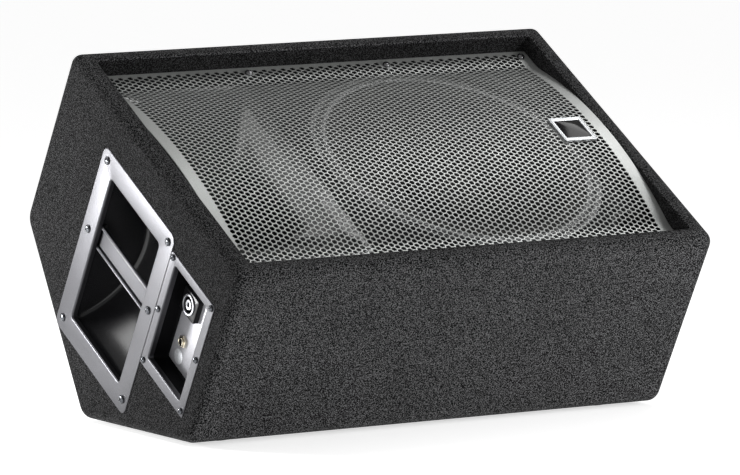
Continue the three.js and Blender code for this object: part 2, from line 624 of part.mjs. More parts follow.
function hornBody() {
  const depths = [0, 0.08, 0.18, 0.3, 0.45, 0.62, 0.8, 1].map((part) => part * HORN.depth);
  const stack = (wall) =>
    depths.map((depth) => ({ outline: hornSection(depth, wall), n: HORN_FRONT - depth }));
  const inside = stack(0);
  inside[0].n += 1;
  inside[inside.length - 1].n -= 1;
  const flange = alongN(roundedRectangle(
    grown([HORN.x, HORN.x], HORN_FLANGE.width / 2),
    grown([HORN.u, HORN.u], HORN_FLANGE.length / 2), HORN_FLANGE.corner),
  HORN_FRONT - HORN_FLANGE.thickness, HORN_FRONT);
  const neck = turnedN(rod(27, HORN_BACK, HORN_BACK + 7), HORN.x, HORN.u, 24);
  return loft(stack(HORN.wall)).add(flange).add(neck).subtract(loft(inside));
}

const DRIVER = { radius: 33, length: 46, bore: 12.7 };

function driverPieces() {
  const front = HORN_BACK - GAP;
  const back = front - DRIVER.length;
  const housing = [[DRIVER.bore, front], [DRIVER.radius, front], [DRIVER.radius, back + 3],
    [DRIVER.radius - 3, back], [0, back], [0, back + 4], [26, back + 4], [26, front - 24],
    [DRIVER.bore, front - 20], [DRIVER.bore, front]];
  const dome = (radius, height, base) => Array.from({ length: 6 }, (_, i) => {
    const angle = (Math.PI / 2) * (i / 5);
    return [radius * Math.cos(angle), base - height * Math.sin(angle)];
  });
  const base = front - 27;
  const skin = [...dome(19, 8, base - 0.8), ...dome(18.4, 7.4, base).reverse()];
  return [
    piece("driver_housing", turnedN(housing, HORN.x, HORN.u, 32), blackSteel),
    piece("driver_diaphragm",
      turnedN([[25, base], [25, base - 0.8], ...skin, [25, base]], HORN.x, HORN.u, 18), polish),
  ];
}

function portPieces() {
  const { radius, wall, length, fromEdge, x } = PORT;
  return [["front", fromEdge], ["rear", BAFFLE - fromEdge]].map(([edge, u]) =>
    piece(`port_tube_${edge}`,
      turnedN(ring(radius, radius + wall, BAFFLE_FRONT - length, BAFFLE_FRONT - GAP), x, u, 24),
      blackPlastic));
}

// ---------------------------------------------------------------- pieces set square to the floor
// Heights here are above the resting carpet face; y runs from the front to the back.
const FLOOR_INSIDE = WALL + GAP;
const BASE_FRONT = FLANK * Math.sin(TILT);
const BASE_LENGTH = MID_U / Math.cos(TILT);
const BOARD = { x: [210, 350], y: [150, 240], bottom: FLOOR_INSIDE + 5, thickness: 1.8 };

function feet() {
  const inset = 55;
  const profile = [[0, -FOOT_HEIGHT], [13, -FOOT_HEIGHT], [15, -GAP], [0, -GAP]];
  const places = [
    ["front_left", inset, BASE_FRONT + inset * 0.8],
    ["front_right", WIDTH - inset, BASE_FRONT + inset * 0.8],
    ["rear_left", inset, BASE_FRONT + BASE_LENGTH - inset * 0.8],
    ["rear_right", WIDTH - inset, BASE_FRONT + BASE_LENGTH - inset * 0.8],
  ];
  return places.map(([name, x, y]) =>
    piece(`foot_${name}`, turnedN(profile, x, y, 24), rubber));
}

function crossoverPieces() {
  const top = BOARD.bottom + BOARD.thickness;
  const legs = [[6, 6], [-6, 6], [6, -6], [-6, -6]].map(([dx, dy]) => {
    const x = dx > 0 ? BOARD.x[0] + dx : BOARD.x[1] + dx;
    const y = dy > 0 ? BOARD.y[0] + dy : BOARD.y[1] + dy;
    return turnedN(rod(3, FLOOR_INSIDE, BOARD.bottom + 0.5), x, y, 8);
  });
  const board = legs.reduce((all, leg) => all.add(leg), block(BOARD.x, BOARD.y, [BOARD.bottom, top]));
  const bobbin = [[7, 0], [20, 0], [20, 2], [17, 2.2], [17, 16.8], [20, 17], [20, 19], [7, 19], [7, 0]]
    .map(([radius, z]) => [radius, top + GAP + z]);
  const can = new THREE.CylinderGeometry(9, 9, 34, 16).rotateZ(Math.PI / 2)
    .translate(310, 175, top + GAP + 9.2);
  return [
    piece("crossover_board", board, material(0x6b5a34, 0.7)),
    piece("crossover_inductor", turnedN(bobbin, 245, 195, 24), copper),
    piece("crossover_capacitor", solid(can), material(0xc7a94a, 0.5)),
  ];
}

// A wire of round section through the listed points, with flat ends.
function wire(points, radius, steps) {
  const path = new THREE.CatmullRomCurve3(points.map((p) => new THREE.Vector3(...p)));
  const section = new THREE.Shape().absarc(0, 0, radius, 0, 2 * Math.PI);
  return solid(new THREE.ExtrudeGeometry(section, { steps, extrudePath: path, curveSegments: 4 }));
}

function leadPieces() {
  const top = BOARD.bottom + BOARD.thickness + GAP;
  return [
    piece("input_lead", wire([
      [47.5, 129.9, 135.8], [62, 130, 135.8], [80, 128, 118], [95, 130, 75], [140, 140, 40],
      [195, 155, top + 14], [222, 168, top + 2.5]], 2.2, 22), rubber),
    piece("woofer_lead", wire([
      [300, 220, top + 2.5], [292, 225, top + 18], [262, 218, 110], [246, 208, 180], [250, 204, 214],
    ], 2.2, 18), rubber),
    piece("driver_lead", wire([
      [222, 225, top + 2.5], [210, 235, top + 16], [180, 248, 80], [155, 250, 130], [138, 246, 143],
    ], 1.8, 18), rubber),
  ];
}

// ---------------------------------------------------------------- assembly
const cabinet = new THREE.Group();
cabinet.rotation.x = TILT;
cabinet.position.z = FLANK * Math.cos(TILT);
cabinet.add(...cabinetPieces(), ...grillePieces(), ...sidePieces());
cabinet.add(...wooferPieces(), piece("horn", hornBody(), blackPlastic), ...driverPieces());
cabinet.add(...portPieces());

const monitorWedge = new THREE.Group();
monitorWedge.add(cabinet, ...feet(), ...crossoverPieces(), ...leadPieces());

// The origin is the centre of the box round the part, at the height of the feet.
const bounds = new THREE.Box3().setFromObject(monitorWedge, true);
const middle = bounds.getCenter(new THREE.Vector3());
monitorWedge.position.set(-middle.x, -middle.y, -bounds.min.z);

export default monitorWedge;
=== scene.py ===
"""Looks of the stage monitor wedge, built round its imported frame. All pieces are in metres."""
import json
import math

import bmesh
import bpy
from mathutils import Matrix, Vector
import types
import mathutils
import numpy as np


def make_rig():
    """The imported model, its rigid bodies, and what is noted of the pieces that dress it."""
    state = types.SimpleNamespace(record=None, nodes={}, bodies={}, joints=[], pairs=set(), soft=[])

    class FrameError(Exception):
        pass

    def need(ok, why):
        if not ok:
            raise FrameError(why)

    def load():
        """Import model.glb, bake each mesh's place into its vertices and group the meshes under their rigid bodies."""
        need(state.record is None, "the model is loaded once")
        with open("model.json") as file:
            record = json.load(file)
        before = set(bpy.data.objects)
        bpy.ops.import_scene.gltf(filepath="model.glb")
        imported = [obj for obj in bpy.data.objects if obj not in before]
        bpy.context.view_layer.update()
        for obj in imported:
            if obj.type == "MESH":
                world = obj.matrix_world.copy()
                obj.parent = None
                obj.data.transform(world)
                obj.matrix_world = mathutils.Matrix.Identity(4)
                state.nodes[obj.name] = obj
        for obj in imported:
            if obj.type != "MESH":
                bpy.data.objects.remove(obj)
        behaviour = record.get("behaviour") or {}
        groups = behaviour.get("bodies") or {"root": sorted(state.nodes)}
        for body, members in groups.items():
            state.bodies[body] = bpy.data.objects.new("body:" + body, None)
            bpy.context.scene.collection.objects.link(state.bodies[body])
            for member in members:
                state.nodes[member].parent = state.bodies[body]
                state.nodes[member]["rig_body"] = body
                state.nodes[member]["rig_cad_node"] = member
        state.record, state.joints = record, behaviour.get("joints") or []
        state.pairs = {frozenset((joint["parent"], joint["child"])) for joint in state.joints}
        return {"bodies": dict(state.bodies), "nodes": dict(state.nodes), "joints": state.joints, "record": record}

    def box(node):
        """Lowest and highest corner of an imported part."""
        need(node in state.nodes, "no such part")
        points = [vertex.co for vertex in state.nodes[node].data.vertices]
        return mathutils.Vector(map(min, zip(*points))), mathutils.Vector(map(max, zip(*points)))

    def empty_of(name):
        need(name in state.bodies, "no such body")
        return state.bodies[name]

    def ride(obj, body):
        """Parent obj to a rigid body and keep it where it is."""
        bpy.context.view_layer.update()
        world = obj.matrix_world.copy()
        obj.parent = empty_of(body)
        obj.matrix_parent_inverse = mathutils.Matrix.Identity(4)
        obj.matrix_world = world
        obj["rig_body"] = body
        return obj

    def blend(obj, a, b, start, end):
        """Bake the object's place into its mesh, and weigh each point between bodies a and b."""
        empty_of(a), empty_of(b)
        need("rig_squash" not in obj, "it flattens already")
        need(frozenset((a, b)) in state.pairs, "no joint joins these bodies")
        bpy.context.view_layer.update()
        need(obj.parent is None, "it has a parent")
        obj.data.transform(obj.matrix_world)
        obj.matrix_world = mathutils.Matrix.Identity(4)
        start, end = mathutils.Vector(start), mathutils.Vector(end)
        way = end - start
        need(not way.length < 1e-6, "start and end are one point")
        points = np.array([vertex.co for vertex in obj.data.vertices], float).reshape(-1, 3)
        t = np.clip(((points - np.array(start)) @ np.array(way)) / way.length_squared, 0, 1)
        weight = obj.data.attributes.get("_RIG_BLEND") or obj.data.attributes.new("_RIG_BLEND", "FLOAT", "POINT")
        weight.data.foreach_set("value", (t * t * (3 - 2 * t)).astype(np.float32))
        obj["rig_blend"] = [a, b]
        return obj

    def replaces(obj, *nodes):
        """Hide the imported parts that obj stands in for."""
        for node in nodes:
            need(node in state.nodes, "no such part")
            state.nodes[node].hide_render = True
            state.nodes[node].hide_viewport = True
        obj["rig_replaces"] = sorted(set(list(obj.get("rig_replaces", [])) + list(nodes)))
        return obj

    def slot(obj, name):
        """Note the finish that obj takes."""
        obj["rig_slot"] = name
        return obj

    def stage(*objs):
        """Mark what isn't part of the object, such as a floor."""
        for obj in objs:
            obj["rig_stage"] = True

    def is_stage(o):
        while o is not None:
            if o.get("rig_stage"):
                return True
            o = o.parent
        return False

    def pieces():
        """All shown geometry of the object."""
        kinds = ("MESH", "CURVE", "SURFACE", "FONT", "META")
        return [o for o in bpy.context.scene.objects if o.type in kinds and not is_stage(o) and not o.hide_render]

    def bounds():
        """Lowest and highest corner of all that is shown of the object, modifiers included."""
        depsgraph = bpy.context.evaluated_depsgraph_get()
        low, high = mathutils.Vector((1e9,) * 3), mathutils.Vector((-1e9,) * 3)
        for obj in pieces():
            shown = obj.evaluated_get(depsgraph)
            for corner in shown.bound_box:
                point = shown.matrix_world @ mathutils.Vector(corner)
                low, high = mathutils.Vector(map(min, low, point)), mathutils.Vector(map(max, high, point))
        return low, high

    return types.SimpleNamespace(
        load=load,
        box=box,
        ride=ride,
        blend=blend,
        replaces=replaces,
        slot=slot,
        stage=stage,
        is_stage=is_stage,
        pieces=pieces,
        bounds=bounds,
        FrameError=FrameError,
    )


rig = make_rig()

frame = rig.load()
cad_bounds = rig.bounds()

# -------------------------------------------- driving dimensions, millimetres
MM = 0.001
TILT = math.radians(30)
WIDTH = 559
BAFFLE = 390
FLANK = 207.5
MID_U = BAFFLE / 2
CARPET = 2
EDGE_RADIUS = 10
RIM_CORNER = 12
BASE_CORNER = 20
WALL = 18.6  # inner face of the plywood with its clearance
LINED_WALL = 20.6  # inner face of the carpet in the recess
BAFFLE_FRONT = -21
BAFFLE_BACK = -39

HANDLE = {"u": (120.8, 284), "n": (-262.9, -42.9), "corner": 9,
          "opening": {"u": (145.7, 257.7), "n": (-238, -67), "corner": 4}}
INPUT = {"u": (24.3, 120.3), "n": (-193, -57), "corner": 2,
         "opening": {"u": (37, 108.6), "n": (-180, -67), "corner": 3}}
HANDLE_SCREWS = {"u": (131.5, 272), "n": (-249, -138, -54), "head": 4.3, "height": 2.3, "length": 15}
INPUT_SCREWS = {"u": (29.5, 115.4), "n": (-187.5, -124.6, -61.5), "head": 3.4, "height": 2.3,
                "length": 15}
SHANK_RADIUS = 1.9
PLATE_FRONT = -1
STEEL = 1.5
LIP_DEPTH = 6
CUP_CLEARANCE = 1.9  # cup's inner wall outside the plate's opening
PAN_FLOOR = 64
DISH_FLOOR = 22.6
SOCKET = {"u": 90.5, "n": -103, "width": 31, "height": 27, "raised": 6.5}
JACK = {"u": 89.5, "n": -148}
DISC = {"u": 91, "n": -167.5, "radius": 8}
BAR = {"n": -138, "width": 28, "web": 5.5, "bead": 2.0}

GRILLE = {"steel": 1.2, "radius": 515, "fillet": 45, "rise": 20, "bottom": -20.7}
GRILLE_SCREWS = {"x": (31.5, 197, 362.5, 528), "from_edge": 31.5, "head": 4.2, "height": 3.2,
                 "length": 13}
HOLE_PITCH = 6.5
HOLE_ACROSS = 5.4  # between the flats of a hexagonal hole
BADGE = {"x": 495, "u": 197, "size": 39.5, "bottom": 0.8, "height": 2.6}

WOOFER = {"x": 361, "u": MID_U}
CONE = {"neck": 26.2, "edge": 121.7, "neck_n": -76, "edge_n": -28, "paper": 1.3, "belly": 2.0}
COIL = {"inner": 25.4, "outer": 27.6, "from": -112, "to": -98}
DUST_CAP = {"radius": 44, "rise": 13, "skin": 1.1}
SURROUND = {"inner": 121.9, "outer": 137.2, "inner_n": -26.8, "outer_n": -24.4, "folds": 2,
            "sheet": 0.9, "moving": 122.1, "still": 134.3}
SPIDER = {"inner": 26.8, "outer": 78, "inner_n": -84, "outer_n": -91, "folds": 4,
          "sheet": 0.8, "moving": 28.0, "still": 76.0}
FOLD_HEIGHT = 1.3
HORN = {"x": 103.5, "u": MID_U, "width": 127, "length": 264, "depth": 110, "throat": 12.7,
        "flange": (165, 300), "flange_corner": 10, "wall": 2.6}

# The corner where the baffle face, the left side and the front wall would meet.
baffle_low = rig.box("baffle_board")[0]
ORIGIN = Vector(baffle_low) - MM * Vector((
    WALL,
    WALL * math.cos(TILT) - BAFFLE_FRONT * math.sin(TILT),
    WALL * math.sin(TILT) + BAFFLE_BACK * math.cos(TILT),
))


def place(x, u, n):
    """A point given across the cabinet, along the baffle and out of it, in the frame's metres."""
    across = u * math.cos(TILT) - n * math.sin(TILT)
    height = u * math.sin(TILT) + n * math.cos(TILT)
    return ORIGIN + MM * Vector((x, across, height))


# -------------------------------------------- camera, lights and floor
CAMERA_PLACE = Vector((-3.4416, -5.6847, 0.9534))
CAMERA_AZIMUTH = 31.22  # degrees to the left of straight ahead
CAMERA_ELEVATION = 6.63
CAMERA_ROLL = -0.34
CAMERA_LENS = 318.3
AMBIENT = 0.36  # strength of the even light from all round
FLOOR_GLOW = 0.62  # keeps the floor pale without flattening the light on the object


def make_camera():
    data = bpy.data.cameras.new("camera")
    data.lens = CAMERA_LENS
    data.clip_end = 100
    camera = bpy.data.objects.new("camera", data)
    bpy.context.collection.objects.link(camera)
    azimuth, elevation = math.radians(CAMERA_AZIMUTH), math.radians(CAMERA_ELEVATION)
    forward = Vector((math.sin(azimuth) * math.cos(elevation),
                      math.cos(azimuth) * math.cos(elevation), -math.sin(elevation)))
    turn = forward.to_track_quat("-Z", "Y").to_matrix().to_4x4()
    roll = Matrix.Rotation(math.radians(CAMERA_ROLL), 4, "Z")
    camera.matrix_world = Matrix.Translation(CAMERA_PLACE) @ turn @ roll
    bpy.context.scene.camera = camera


def area_light(name, location, target, size, power):
    data = bpy.data.lights.new(name, "AREA")
    data.shape = "RECTANGLE"
    data.size, data.size_y = size
    data.energy = power
    light = bpy.data.objects.new(name, data)
    bpy.context.collection.objects.link(light)
    light.location = location
    aim = Vector(target) - Vector(location)
    light.rotation_euler = aim.to_track_quat("-Z", "Y").to_euler()


def make_studio():
    world = bpy.data.worlds.new("studio")
    world.use_nodes = True
    nodes, links = world.node_tree.nodes, world.node_tree.links
    ambient = nodes["Background"]
    ambient.inputs["Strength"].default_value = AMBIENT
    backdrop = nodes.new("ShaderNodeBackground")
    seen = nodes.new("ShaderNodeLightPath").outputs["Is Camera Ray"]
    mix = nodes.new("ShaderNodeMixShader")
    for node in (ambient, backdrop):
        node.inputs["Color"].default_value = (1, 1, 1, 1)
    links.new(seen, mix.inputs["Fac"])
    links.new(ambient.outputs["Background"], mix.inputs[1])
    links.new(backdrop.outputs["Background"], mix.inputs[2])
    links.new(mix.outputs["Shader"], nodes["World Output"].inputs["Surface"])
    bpy.context.scene.world = world
    bpy.context.scene.view_settings.view_transform = "Standard"
    area_light("softbox_left", (-0.82, 0.61, 0.18), (-0.28, -0.04, 0.2), (0.2, 0.12), 6.8)
    area_light("softbox_upper_left", (-0.8, 0.45, 0.92), (-0.24, 0.05, 0.1), (0.5, 0.4), 3.5)
    area_light("softbox_key", (1.2, 0.3, 1.95), (0.05, -0.02, 0.25), (0.8, 0.6), 8.5)
    area_light("softbox_right", (0.9, -1.3, 0.45), (0.2, -0.15, 0.15), (0.6, 0.6), 13)
    bpy.ops.mesh.primitive_plane_add(size=400, location=(0, 0, 0))
    floor = bpy.context.object
    floor.name = "studio_floor"
    look = bpy.data.materials.new("studio_floor")
    look.use_nodes = True
    shader = look.node_tree.nodes["Principled BSDF"]
    shader.inputs["Base Color"].default_value = (0.97, 0.97, 0.97, 1)
    shader.inputs["Roughness"].default_value = 0.9
    shader.inputs["Emission Color"].default_value = (1, 1, 1, 1)
    shader.inputs["Emission Strength"].default_value = FLOOR_GLOW
    floor.data.materials.append(look)
    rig.stage(floor)


# -------------------------------------------- material helpers
class Look:
    """A node material: a Principled shader with helpers to wire textures into it."""

    def __init__(self, name, roughness=0.5, metallic=0.0, **sockets):
        self.material = bpy.data.materials.new(name)
        self.material.use_nodes = True
        self.nodes = self.material.node_tree.nodes
        self.links = self.material.node_tree.links
        self.shader = self.nodes["Principled BSDF"]
        self.shader.inputs["Roughness"].default_value = roughness
        self.shader.inputs["Metallic"].default_value = metallic
        for socket, value in sockets.items():
            self.shader.inputs[socket.replace("_", " ")].default_value = value
        self.coordinates = self.nodes.new("ShaderNodeTexCoord").outputs["Object"]

    def node(self, kind, **values):
        made = self.nodes.new(kind)
        for socket, value in values.items():
            made.inputs[socket.replace("_", " ")].default_value = value
        return made

    def noise(self, scale, detail=2.0, roughness=0.5, stretch=None):
        made = self.node("ShaderNodeTexNoise", Scale=scale, Detail=detail, Roughness=roughness)
        source = self.coordinates
        if stretch:
            mapping = self.node("ShaderNodeMapping", Scale=stretch)
            self.links.new(source, mapping.inputs["Vector"])
            source = mapping.outputs["Vector"]
        self.links.new(source, made.inputs["Vector"])
        return made.outputs["Fac"]

    def ramp(self, source, stops, smooth=True):
        made = self.nodes.new("ShaderNodeValToRGB")
        made.color_ramp.interpolation = "EASE" if smooth else "LINEAR"
        elements = made.color_ramp.elements
        while len(elements) < len(stops):
            elements.new(0.5)
        for element, (position, value) in zip(elements, stops):
            colour = value if isinstance(value, tuple) else (value, value, value)
            element.position = position
            element.color = (*colour, 1)
        self.links.new(source, made.inputs["Fac"])
        return made.outputs["Color"]

    def multiply(self, first, second):
        made = self.nodes.new("ShaderNodeMix")
        made.data_type = "RGBA"
        made.blend_type = "MULTIPLY"
        made.inputs["Factor"].default_value = 1.0
        self.links.new(first, made.inputs["A"])
        self.links.new(second, made.inputs["B"])
        return made.outputs["Result"]

    def attribute(self, name):
        made = self.nodes.new("ShaderNodeAttribute")
        made.attribute_name = name
        return made.outputs["Fac"]

    def colour(self, source):
        self.links.new(source, self.shader.inputs["Base Color"])

    def rough(self, source, low, high):
        made = self.node("ShaderNodeMapRange", To_Min=low, To_Max=high)
        self.links.new(source, made.inputs["Value"])
        self.links.new(made.outputs["Result"], self.shader.inputs["Roughness"])

    def bump(self, source, strength, distance):
        made = self.node("ShaderNodeBump", Strength=strength, Distance=distance * MM)
        self.links.new(source, made.inputs["Height"])
        if self.shader.inputs["Normal"].is_linked:
            earlier = self.shader.inputs["Normal"].links[0].from_socket
            self.links.new(earlier, made.inputs["Normal"])
        self.links.new(made.outputs["Normal"], self.shader.inputs["Normal"])


def carpet_look():
    """Needle-punched carpet: short tangled fibres, some of them catching the light."""
    look = Look("charcoal_carpet", roughness=0.95, Sheen_Weight=0.03, Sheen_Roughness=0.5,
                Specular_IOR_Level=0.05)
    tufts = look.noise(820, detail=2, roughness=0.65)
    fibres = look.noise(1700, detail=2, roughness=0.7)
    mottle = look.noise(14, detail=3)
    specks = look.ramp(tufts, [(0.42, (0.0005, 0.0005, 0.0006)), (0.5, (0.0085, 0.0085, 0.0089)),
                               (0.57, (0.17, 0.17, 0.174))])
    fine = look.ramp(fibres, [(0.38, 0.42), (0.62, 1.0)])
    patches = look.ramp(mottle, [(0.3, 0.88), (0.7, 1.0)])
    # Painted shade: the pile_and_shade attribute darkens the carpet on the side faces, the rim, the recess walls and
    # round the plates; on the side edges part of it is the pile pulled open.
    pile_and_shade = look.ramp(look.attribute("pile_and_shade"), [(0.0, 1.0), (1.0, 0.33)], smooth=False)
    look.colour(look.multiply(look.multiply(look.multiply(specks, fine), patches), pile_and_shade))
    look.bump(tufts, 1.0, 1.2)
    look.bump(fibres, 0.6, 0.3)
    return look.material


def powder_coat(name, colour, grain, strength, roughness, metallic):
    """Textured powder coat: an orange-peel grain over a satin grey."""
    look = Look(name, metallic=metallic)
    peel = look.noise(grain, detail=1)
    cloud = look.noise(30, detail=2)
    light = tuple(min(1.0, c * 1.12) for c in colour)
    dark = tuple(c * 0.86 for c in colour)
    look.colour(look.ramp(peel, [(0.35, dark), (0.65, light)]))
    look.rough(cloud, *roughness)
    look.bump(peel, strength, 0.12)
    return look.material


def moulded(name, colour, roughness=(0.2, 0.34), grain=2200, strength=0.05, gloss=0.5):
    """Moulded plastic: near-even colour, faint grain and slightly uneven gloss."""
    look = Look(name, Specular_IOR_Level=gloss)
    grain_noise = look.noise(grain, detail=1)
    cloud = look.noise(24, detail=3)
    light = tuple(min(1.0, c * 1.25) for c in colour)
    look.colour(look.ramp(cloud, [(0.3, colour), (0.7, light)]))
    look.rough(cloud, *roughness)
    look.bump(grain_noise, strength, 0.08)
    return look.material


def metal(name, colour, roughness, metallic=1.0):
    """Bare or plated metal with faint handling marks."""
    look = Look(name, metallic=metallic)
    marks = look.noise(420, detail=3)
    light = tuple(min(1.0, c * 1.08) for c in colour)
    dark = tuple(c * 0.82 for c in colour)
    look.colour(look.ramp(marks, [(0.3, dark), (0.7, light)]))
    look.rough(marks, *roughness)
    look.bump(marks, 0.08, 0.05)
    return look.material


def plywood_look():
    look = Look("plywood", roughness=0.7)
    grain = look.noise(90, detail=4, roughness=0.6, stretch=(0.12, 1, 1))
    plies = look.noise(14, detail=2)
    wood = look.ramp(grain, [(0.3, (0.33, 0.2, 0.1)), (0.55, (0.55, 0.38, 0.2)),
                             (0.75, (0.66, 0.49, 0.29))])
    look.colour(look.multiply(wood, look.ramp(plies, [(0.3, 0.82), (0.7, 1.0)])))
    look.bump(grain, 0.3, 0.2)
    return look.material


def cloth_look(name, dark, light, scale):
    look = Look(name, roughness=0.85, Specular_IOR_Level=0.25)
    weave = look.noise(scale, detail=2)
    look.colour(look.ramp(weave, [(0.35, dark), (0.65, light)]))
    look.bump(weave, 0.5, 0.25)
    return look.material


def winding_look():
    look = Look("copper_winding", roughness=0.3, metallic=0.9)
    wave = look.nodes.new("ShaderNodeTexWave")
    wave.bands_direction = "Z"
    wave.inputs["Scale"].default_value = 180
    look.links.new(look.coordinates, wave.inputs["Vector"])
    look.colour(look.ramp(wave.outputs["Fac"], [(0.1, (0.24, 0.08, 0.03)), (0.6, (0.72, 0.3, 0.12))]))
    look.bump(wave.outputs["Fac"], 0.6, 0.4)
    return look.material


LOOKS = {
    "carpet": carpet_look(),
    "plywood": plywood_look(),
    "black_paint": moulded("black_paint", (0.004, 0.004, 0.0045), (0.65, 0.8), 900, 0.3, 0.2),
    "grille_steel": powder_coat("grille_coat", (0.4, 0.41, 0.4), 1800, 0.12, (0.33, 0.43), 0.5),
    "black_screws": metal("black_screws", (0.2, 0.2, 0.205), (0.2, 0.32)),
    "badge_metal": metal("badge_metal", (0.42, 0.43, 0.44), (0.3, 0.42)),
    "foil": metal("foil", (0.8, 0.82, 0.85), (0.35, 0.5), metallic=0.3),
    "badge_black": moulded("badge_black", (0.003, 0.003, 0.0035), (0.08, 0.14), gloss=0.12),
    "textured_grey_steel": powder_coat("textured_grey_steel", (0.065, 0.065, 0.071), 1500, 0.25,
                                       (0.26, 0.33), 0.8),
    "black_plastic": moulded("black_plastic", (0.008, 0.008, 0.009), (0.16, 0.28)),
    "dish_plastic": moulded("dish_plastic", (0.003, 0.003, 0.0035), (0.4, 0.55), gloss=0.04),
    "plate_screws": metal("plate_screws", (0.11, 0.115, 0.125), (0.14, 0.28)),
    "socket_plastic": moulded("socket_plastic", (0.004, 0.004, 0.0045), (0.3, 0.42), 2200, 0.05, 0.3),
    "nickel": metal("nickel", (0.82, 0.76, 0.62), (0.12, 0.24)),
    "black_steel": powder_coat("black_steel", (0.07, 0.07, 0.072), 1400, 0.2, (0.2, 0.32), 0.3),
    "ferrite": moulded("ferrite", (0.035, 0.035, 0.038), (0.6, 0.8), 700, 0.4),
    "zinc_steel": metal("zinc_steel", (0.5, 0.51, 0.53), (0.3, 0.45)),
    "cone_paper": cloth_look("cone_paper", (0.006, 0.0058, 0.0058), (0.018, 0.017, 0.0165), 500),
    "treated_cloth": cloth_look("treated_cloth", (0.03, 0.029, 0.028), (0.055, 0.053, 0.05), 1300),
    "horn_plastic": moulded("horn_plastic", (0.008, 0.008, 0.009), (0.1, 0.18), 2200, 0.03, 0.45),
    "diaphragm": metal("diaphragm", (0.8, 0.8, 0.82), (0.1, 0.2)),
    "port_plastic": moulded("port_plastic", (0.01, 0.01, 0.01), (0.4, 0.55)),
    "foot_rubber": moulded("foot_rubber", (0.018, 0.018, 0.018), (0.7, 0.85), 1200, 0.3),
    "circuit_board": moulded("circuit_board", (0.12, 0.08, 0.03), (0.3, 0.5)),
    "copper_winding": winding_look(),
    "capacitor_film": moulded("capacitor_film", (0.55, 0.4, 0.06), (0.2, 0.35)),
    # Pale panel on the dish floor: a painted highlight standing in for the lit patch.
    "dish_highlight_panel": powder_coat("dish_highlight_panel", (0.5, 0.5, 0.53), 1500, 0.2, (0.35, 0.45), 0.3),
    "wire_jacket": moulded("wire_jacket", (0.02, 0.02, 0.02), (0.35, 0.5)),
}


# -------------------------------------------- mesh helpers
def finish_piece(name, bm, slot, body="cabinet", stands_for=(), thickness=0.0, sharp=35, look=None):
    """Turns a bmesh into a piece that rides on a body, if one is given.

    A thickness makes a sheet into a skin.
    """
    bmesh.ops.remove_doubles(bm, verts=bm.verts, dist=1e-6)
    mesh = bpy.data.meshes.new(name)
    bm.to_mesh(mesh)
    bm.free()
    piece = bpy.data.objects.new(name, mesh)
    bpy.context.collection.objects.link(piece)
    mesh.materials.append(look or LOOKS[slot])
    if thickness:
        solidify = piece.modifiers.new("thickness", "SOLIDIFY")
        solidify.thickness = thickness * MM
        solidify.offset = -1
        solidify.use_even_offset = True
        apply_modifiers(piece)
        mesh = piece.data
    mesh.polygons.foreach_set("use_smooth", [True] * len(mesh.polygons))
    mesh.set_sharp_from_angle(angle=math.radians(sharp))
    if body:
        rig.ride(piece, body)
    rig.slot(piece, slot)
    if stands_for:
        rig.replaces(piece, *stands_for)
    return piece


def apply_modifiers(piece):
    graph = bpy.context.evaluated_depsgraph_get()
    made = bpy.data.meshes.new_from_object(piece.evaluated_get(graph))
    piece.modifiers.clear()
    piece.data = made


def rounded_loop(corners, radii, steps=6, inset=0.0, spacing=None):
    """Points round a convex outline whose corners are arcs, moved inwards by the inset."""
    points = []
    count = len(corners)
    arcs = []
    for i, corner in enumerate(corners):
        corner = Vector(corner)
        before = (Vector(corners[i - 1]) - corner).normalized()
        after = (Vector(corners[(i + 1) % count]) - corner).normalized()
        half = math.acos(max(-1.0, min(1.0, before.dot(after)))) / 2
        centre = corner + (before + after).normalized() * (radii[i] / math.sin(half))
        start = corner + before * (radii[i] / math.tan(half)) - centre
        end = corner + after * (radii[i] / math.tan(half)) - centre
        first = math.atan2(start.y, start.x)
        sweep = (math.atan2(end.y, end.x) - first + math.pi) % (2 * math.pi) - math.pi
        radius = max(radii[i] - inset, 0.01)
        arcs.append([centre + radius * Vector((math.cos(first + sweep * k / steps),
                                               math.sin(first + sweep * k / steps)))
                     for k in range(steps + 1)])
    for i, arc in enumerate(arcs):
        points += arc
        following = arcs[(i + 1) % count][0]
        length = (Vector(corners[(i + 1) % count]) - Vector(corners[i])).length
        parts = max(1, round(length / spacing)) if spacing else 1
        points += [arc[-1].lerp(following, k / parts) for k in range(1, parts)]
    return points


def quarter_turn(steps):
    """Even angles from nothing to a right angle."""
    return [math.pi / 2 * k / steps for k in range(steps + 1)]


def rectangle_loop(a, b, radius, grow=0.0, steps=6):
    corners = [(a[0] - grow, b[0] - grow), (a[1] + grow, b[0] - grow),
               (a[1] + grow, b[1] + grow), (a[0] - grow, b[1] + grow)]
    return rounded_loop(corners, [max(radius + grow, 0.2)] * 4, steps)


def ring_of(bm, points):
    return [bm.verts.new(point) for point in points]


def bridge(bm, first, second, closed=True):
    count = len(first)
    for i in range(count if closed else count - 1):
        j = (i + 1) % count
        bm.faces.new((first[i], first[j], second[j], second[i]))


def loft(bm, rings, closed=True):
    """Joins each ring of points to the next one."""
    for first, second in zip(rings, rings[1:]):
        bridge(bm, first, second, closed)


def fill_between(bm, rings, normal):
    """Fills a flat region bounded by one outer ring and any number of inner rings."""
    edges = []
    for ring in rings:
        for i, vert in enumerate(ring):
            other = ring[(i + 1) % len(ring)]
            edges.append(bm.edges.get((vert, other)) or bm.edges.new((vert, other)))
    filled = bmesh.ops.triangle_fill(bm, use_beauty=True, edges=edges, normal=normal)
    faces = [item for item in filled["geom"] if isinstance(item, bmesh.types.BMFace)]
    for face in faces:
        face.normal_update()
        if face.normal.dot(normal) < 0:
            face.normal_flip()


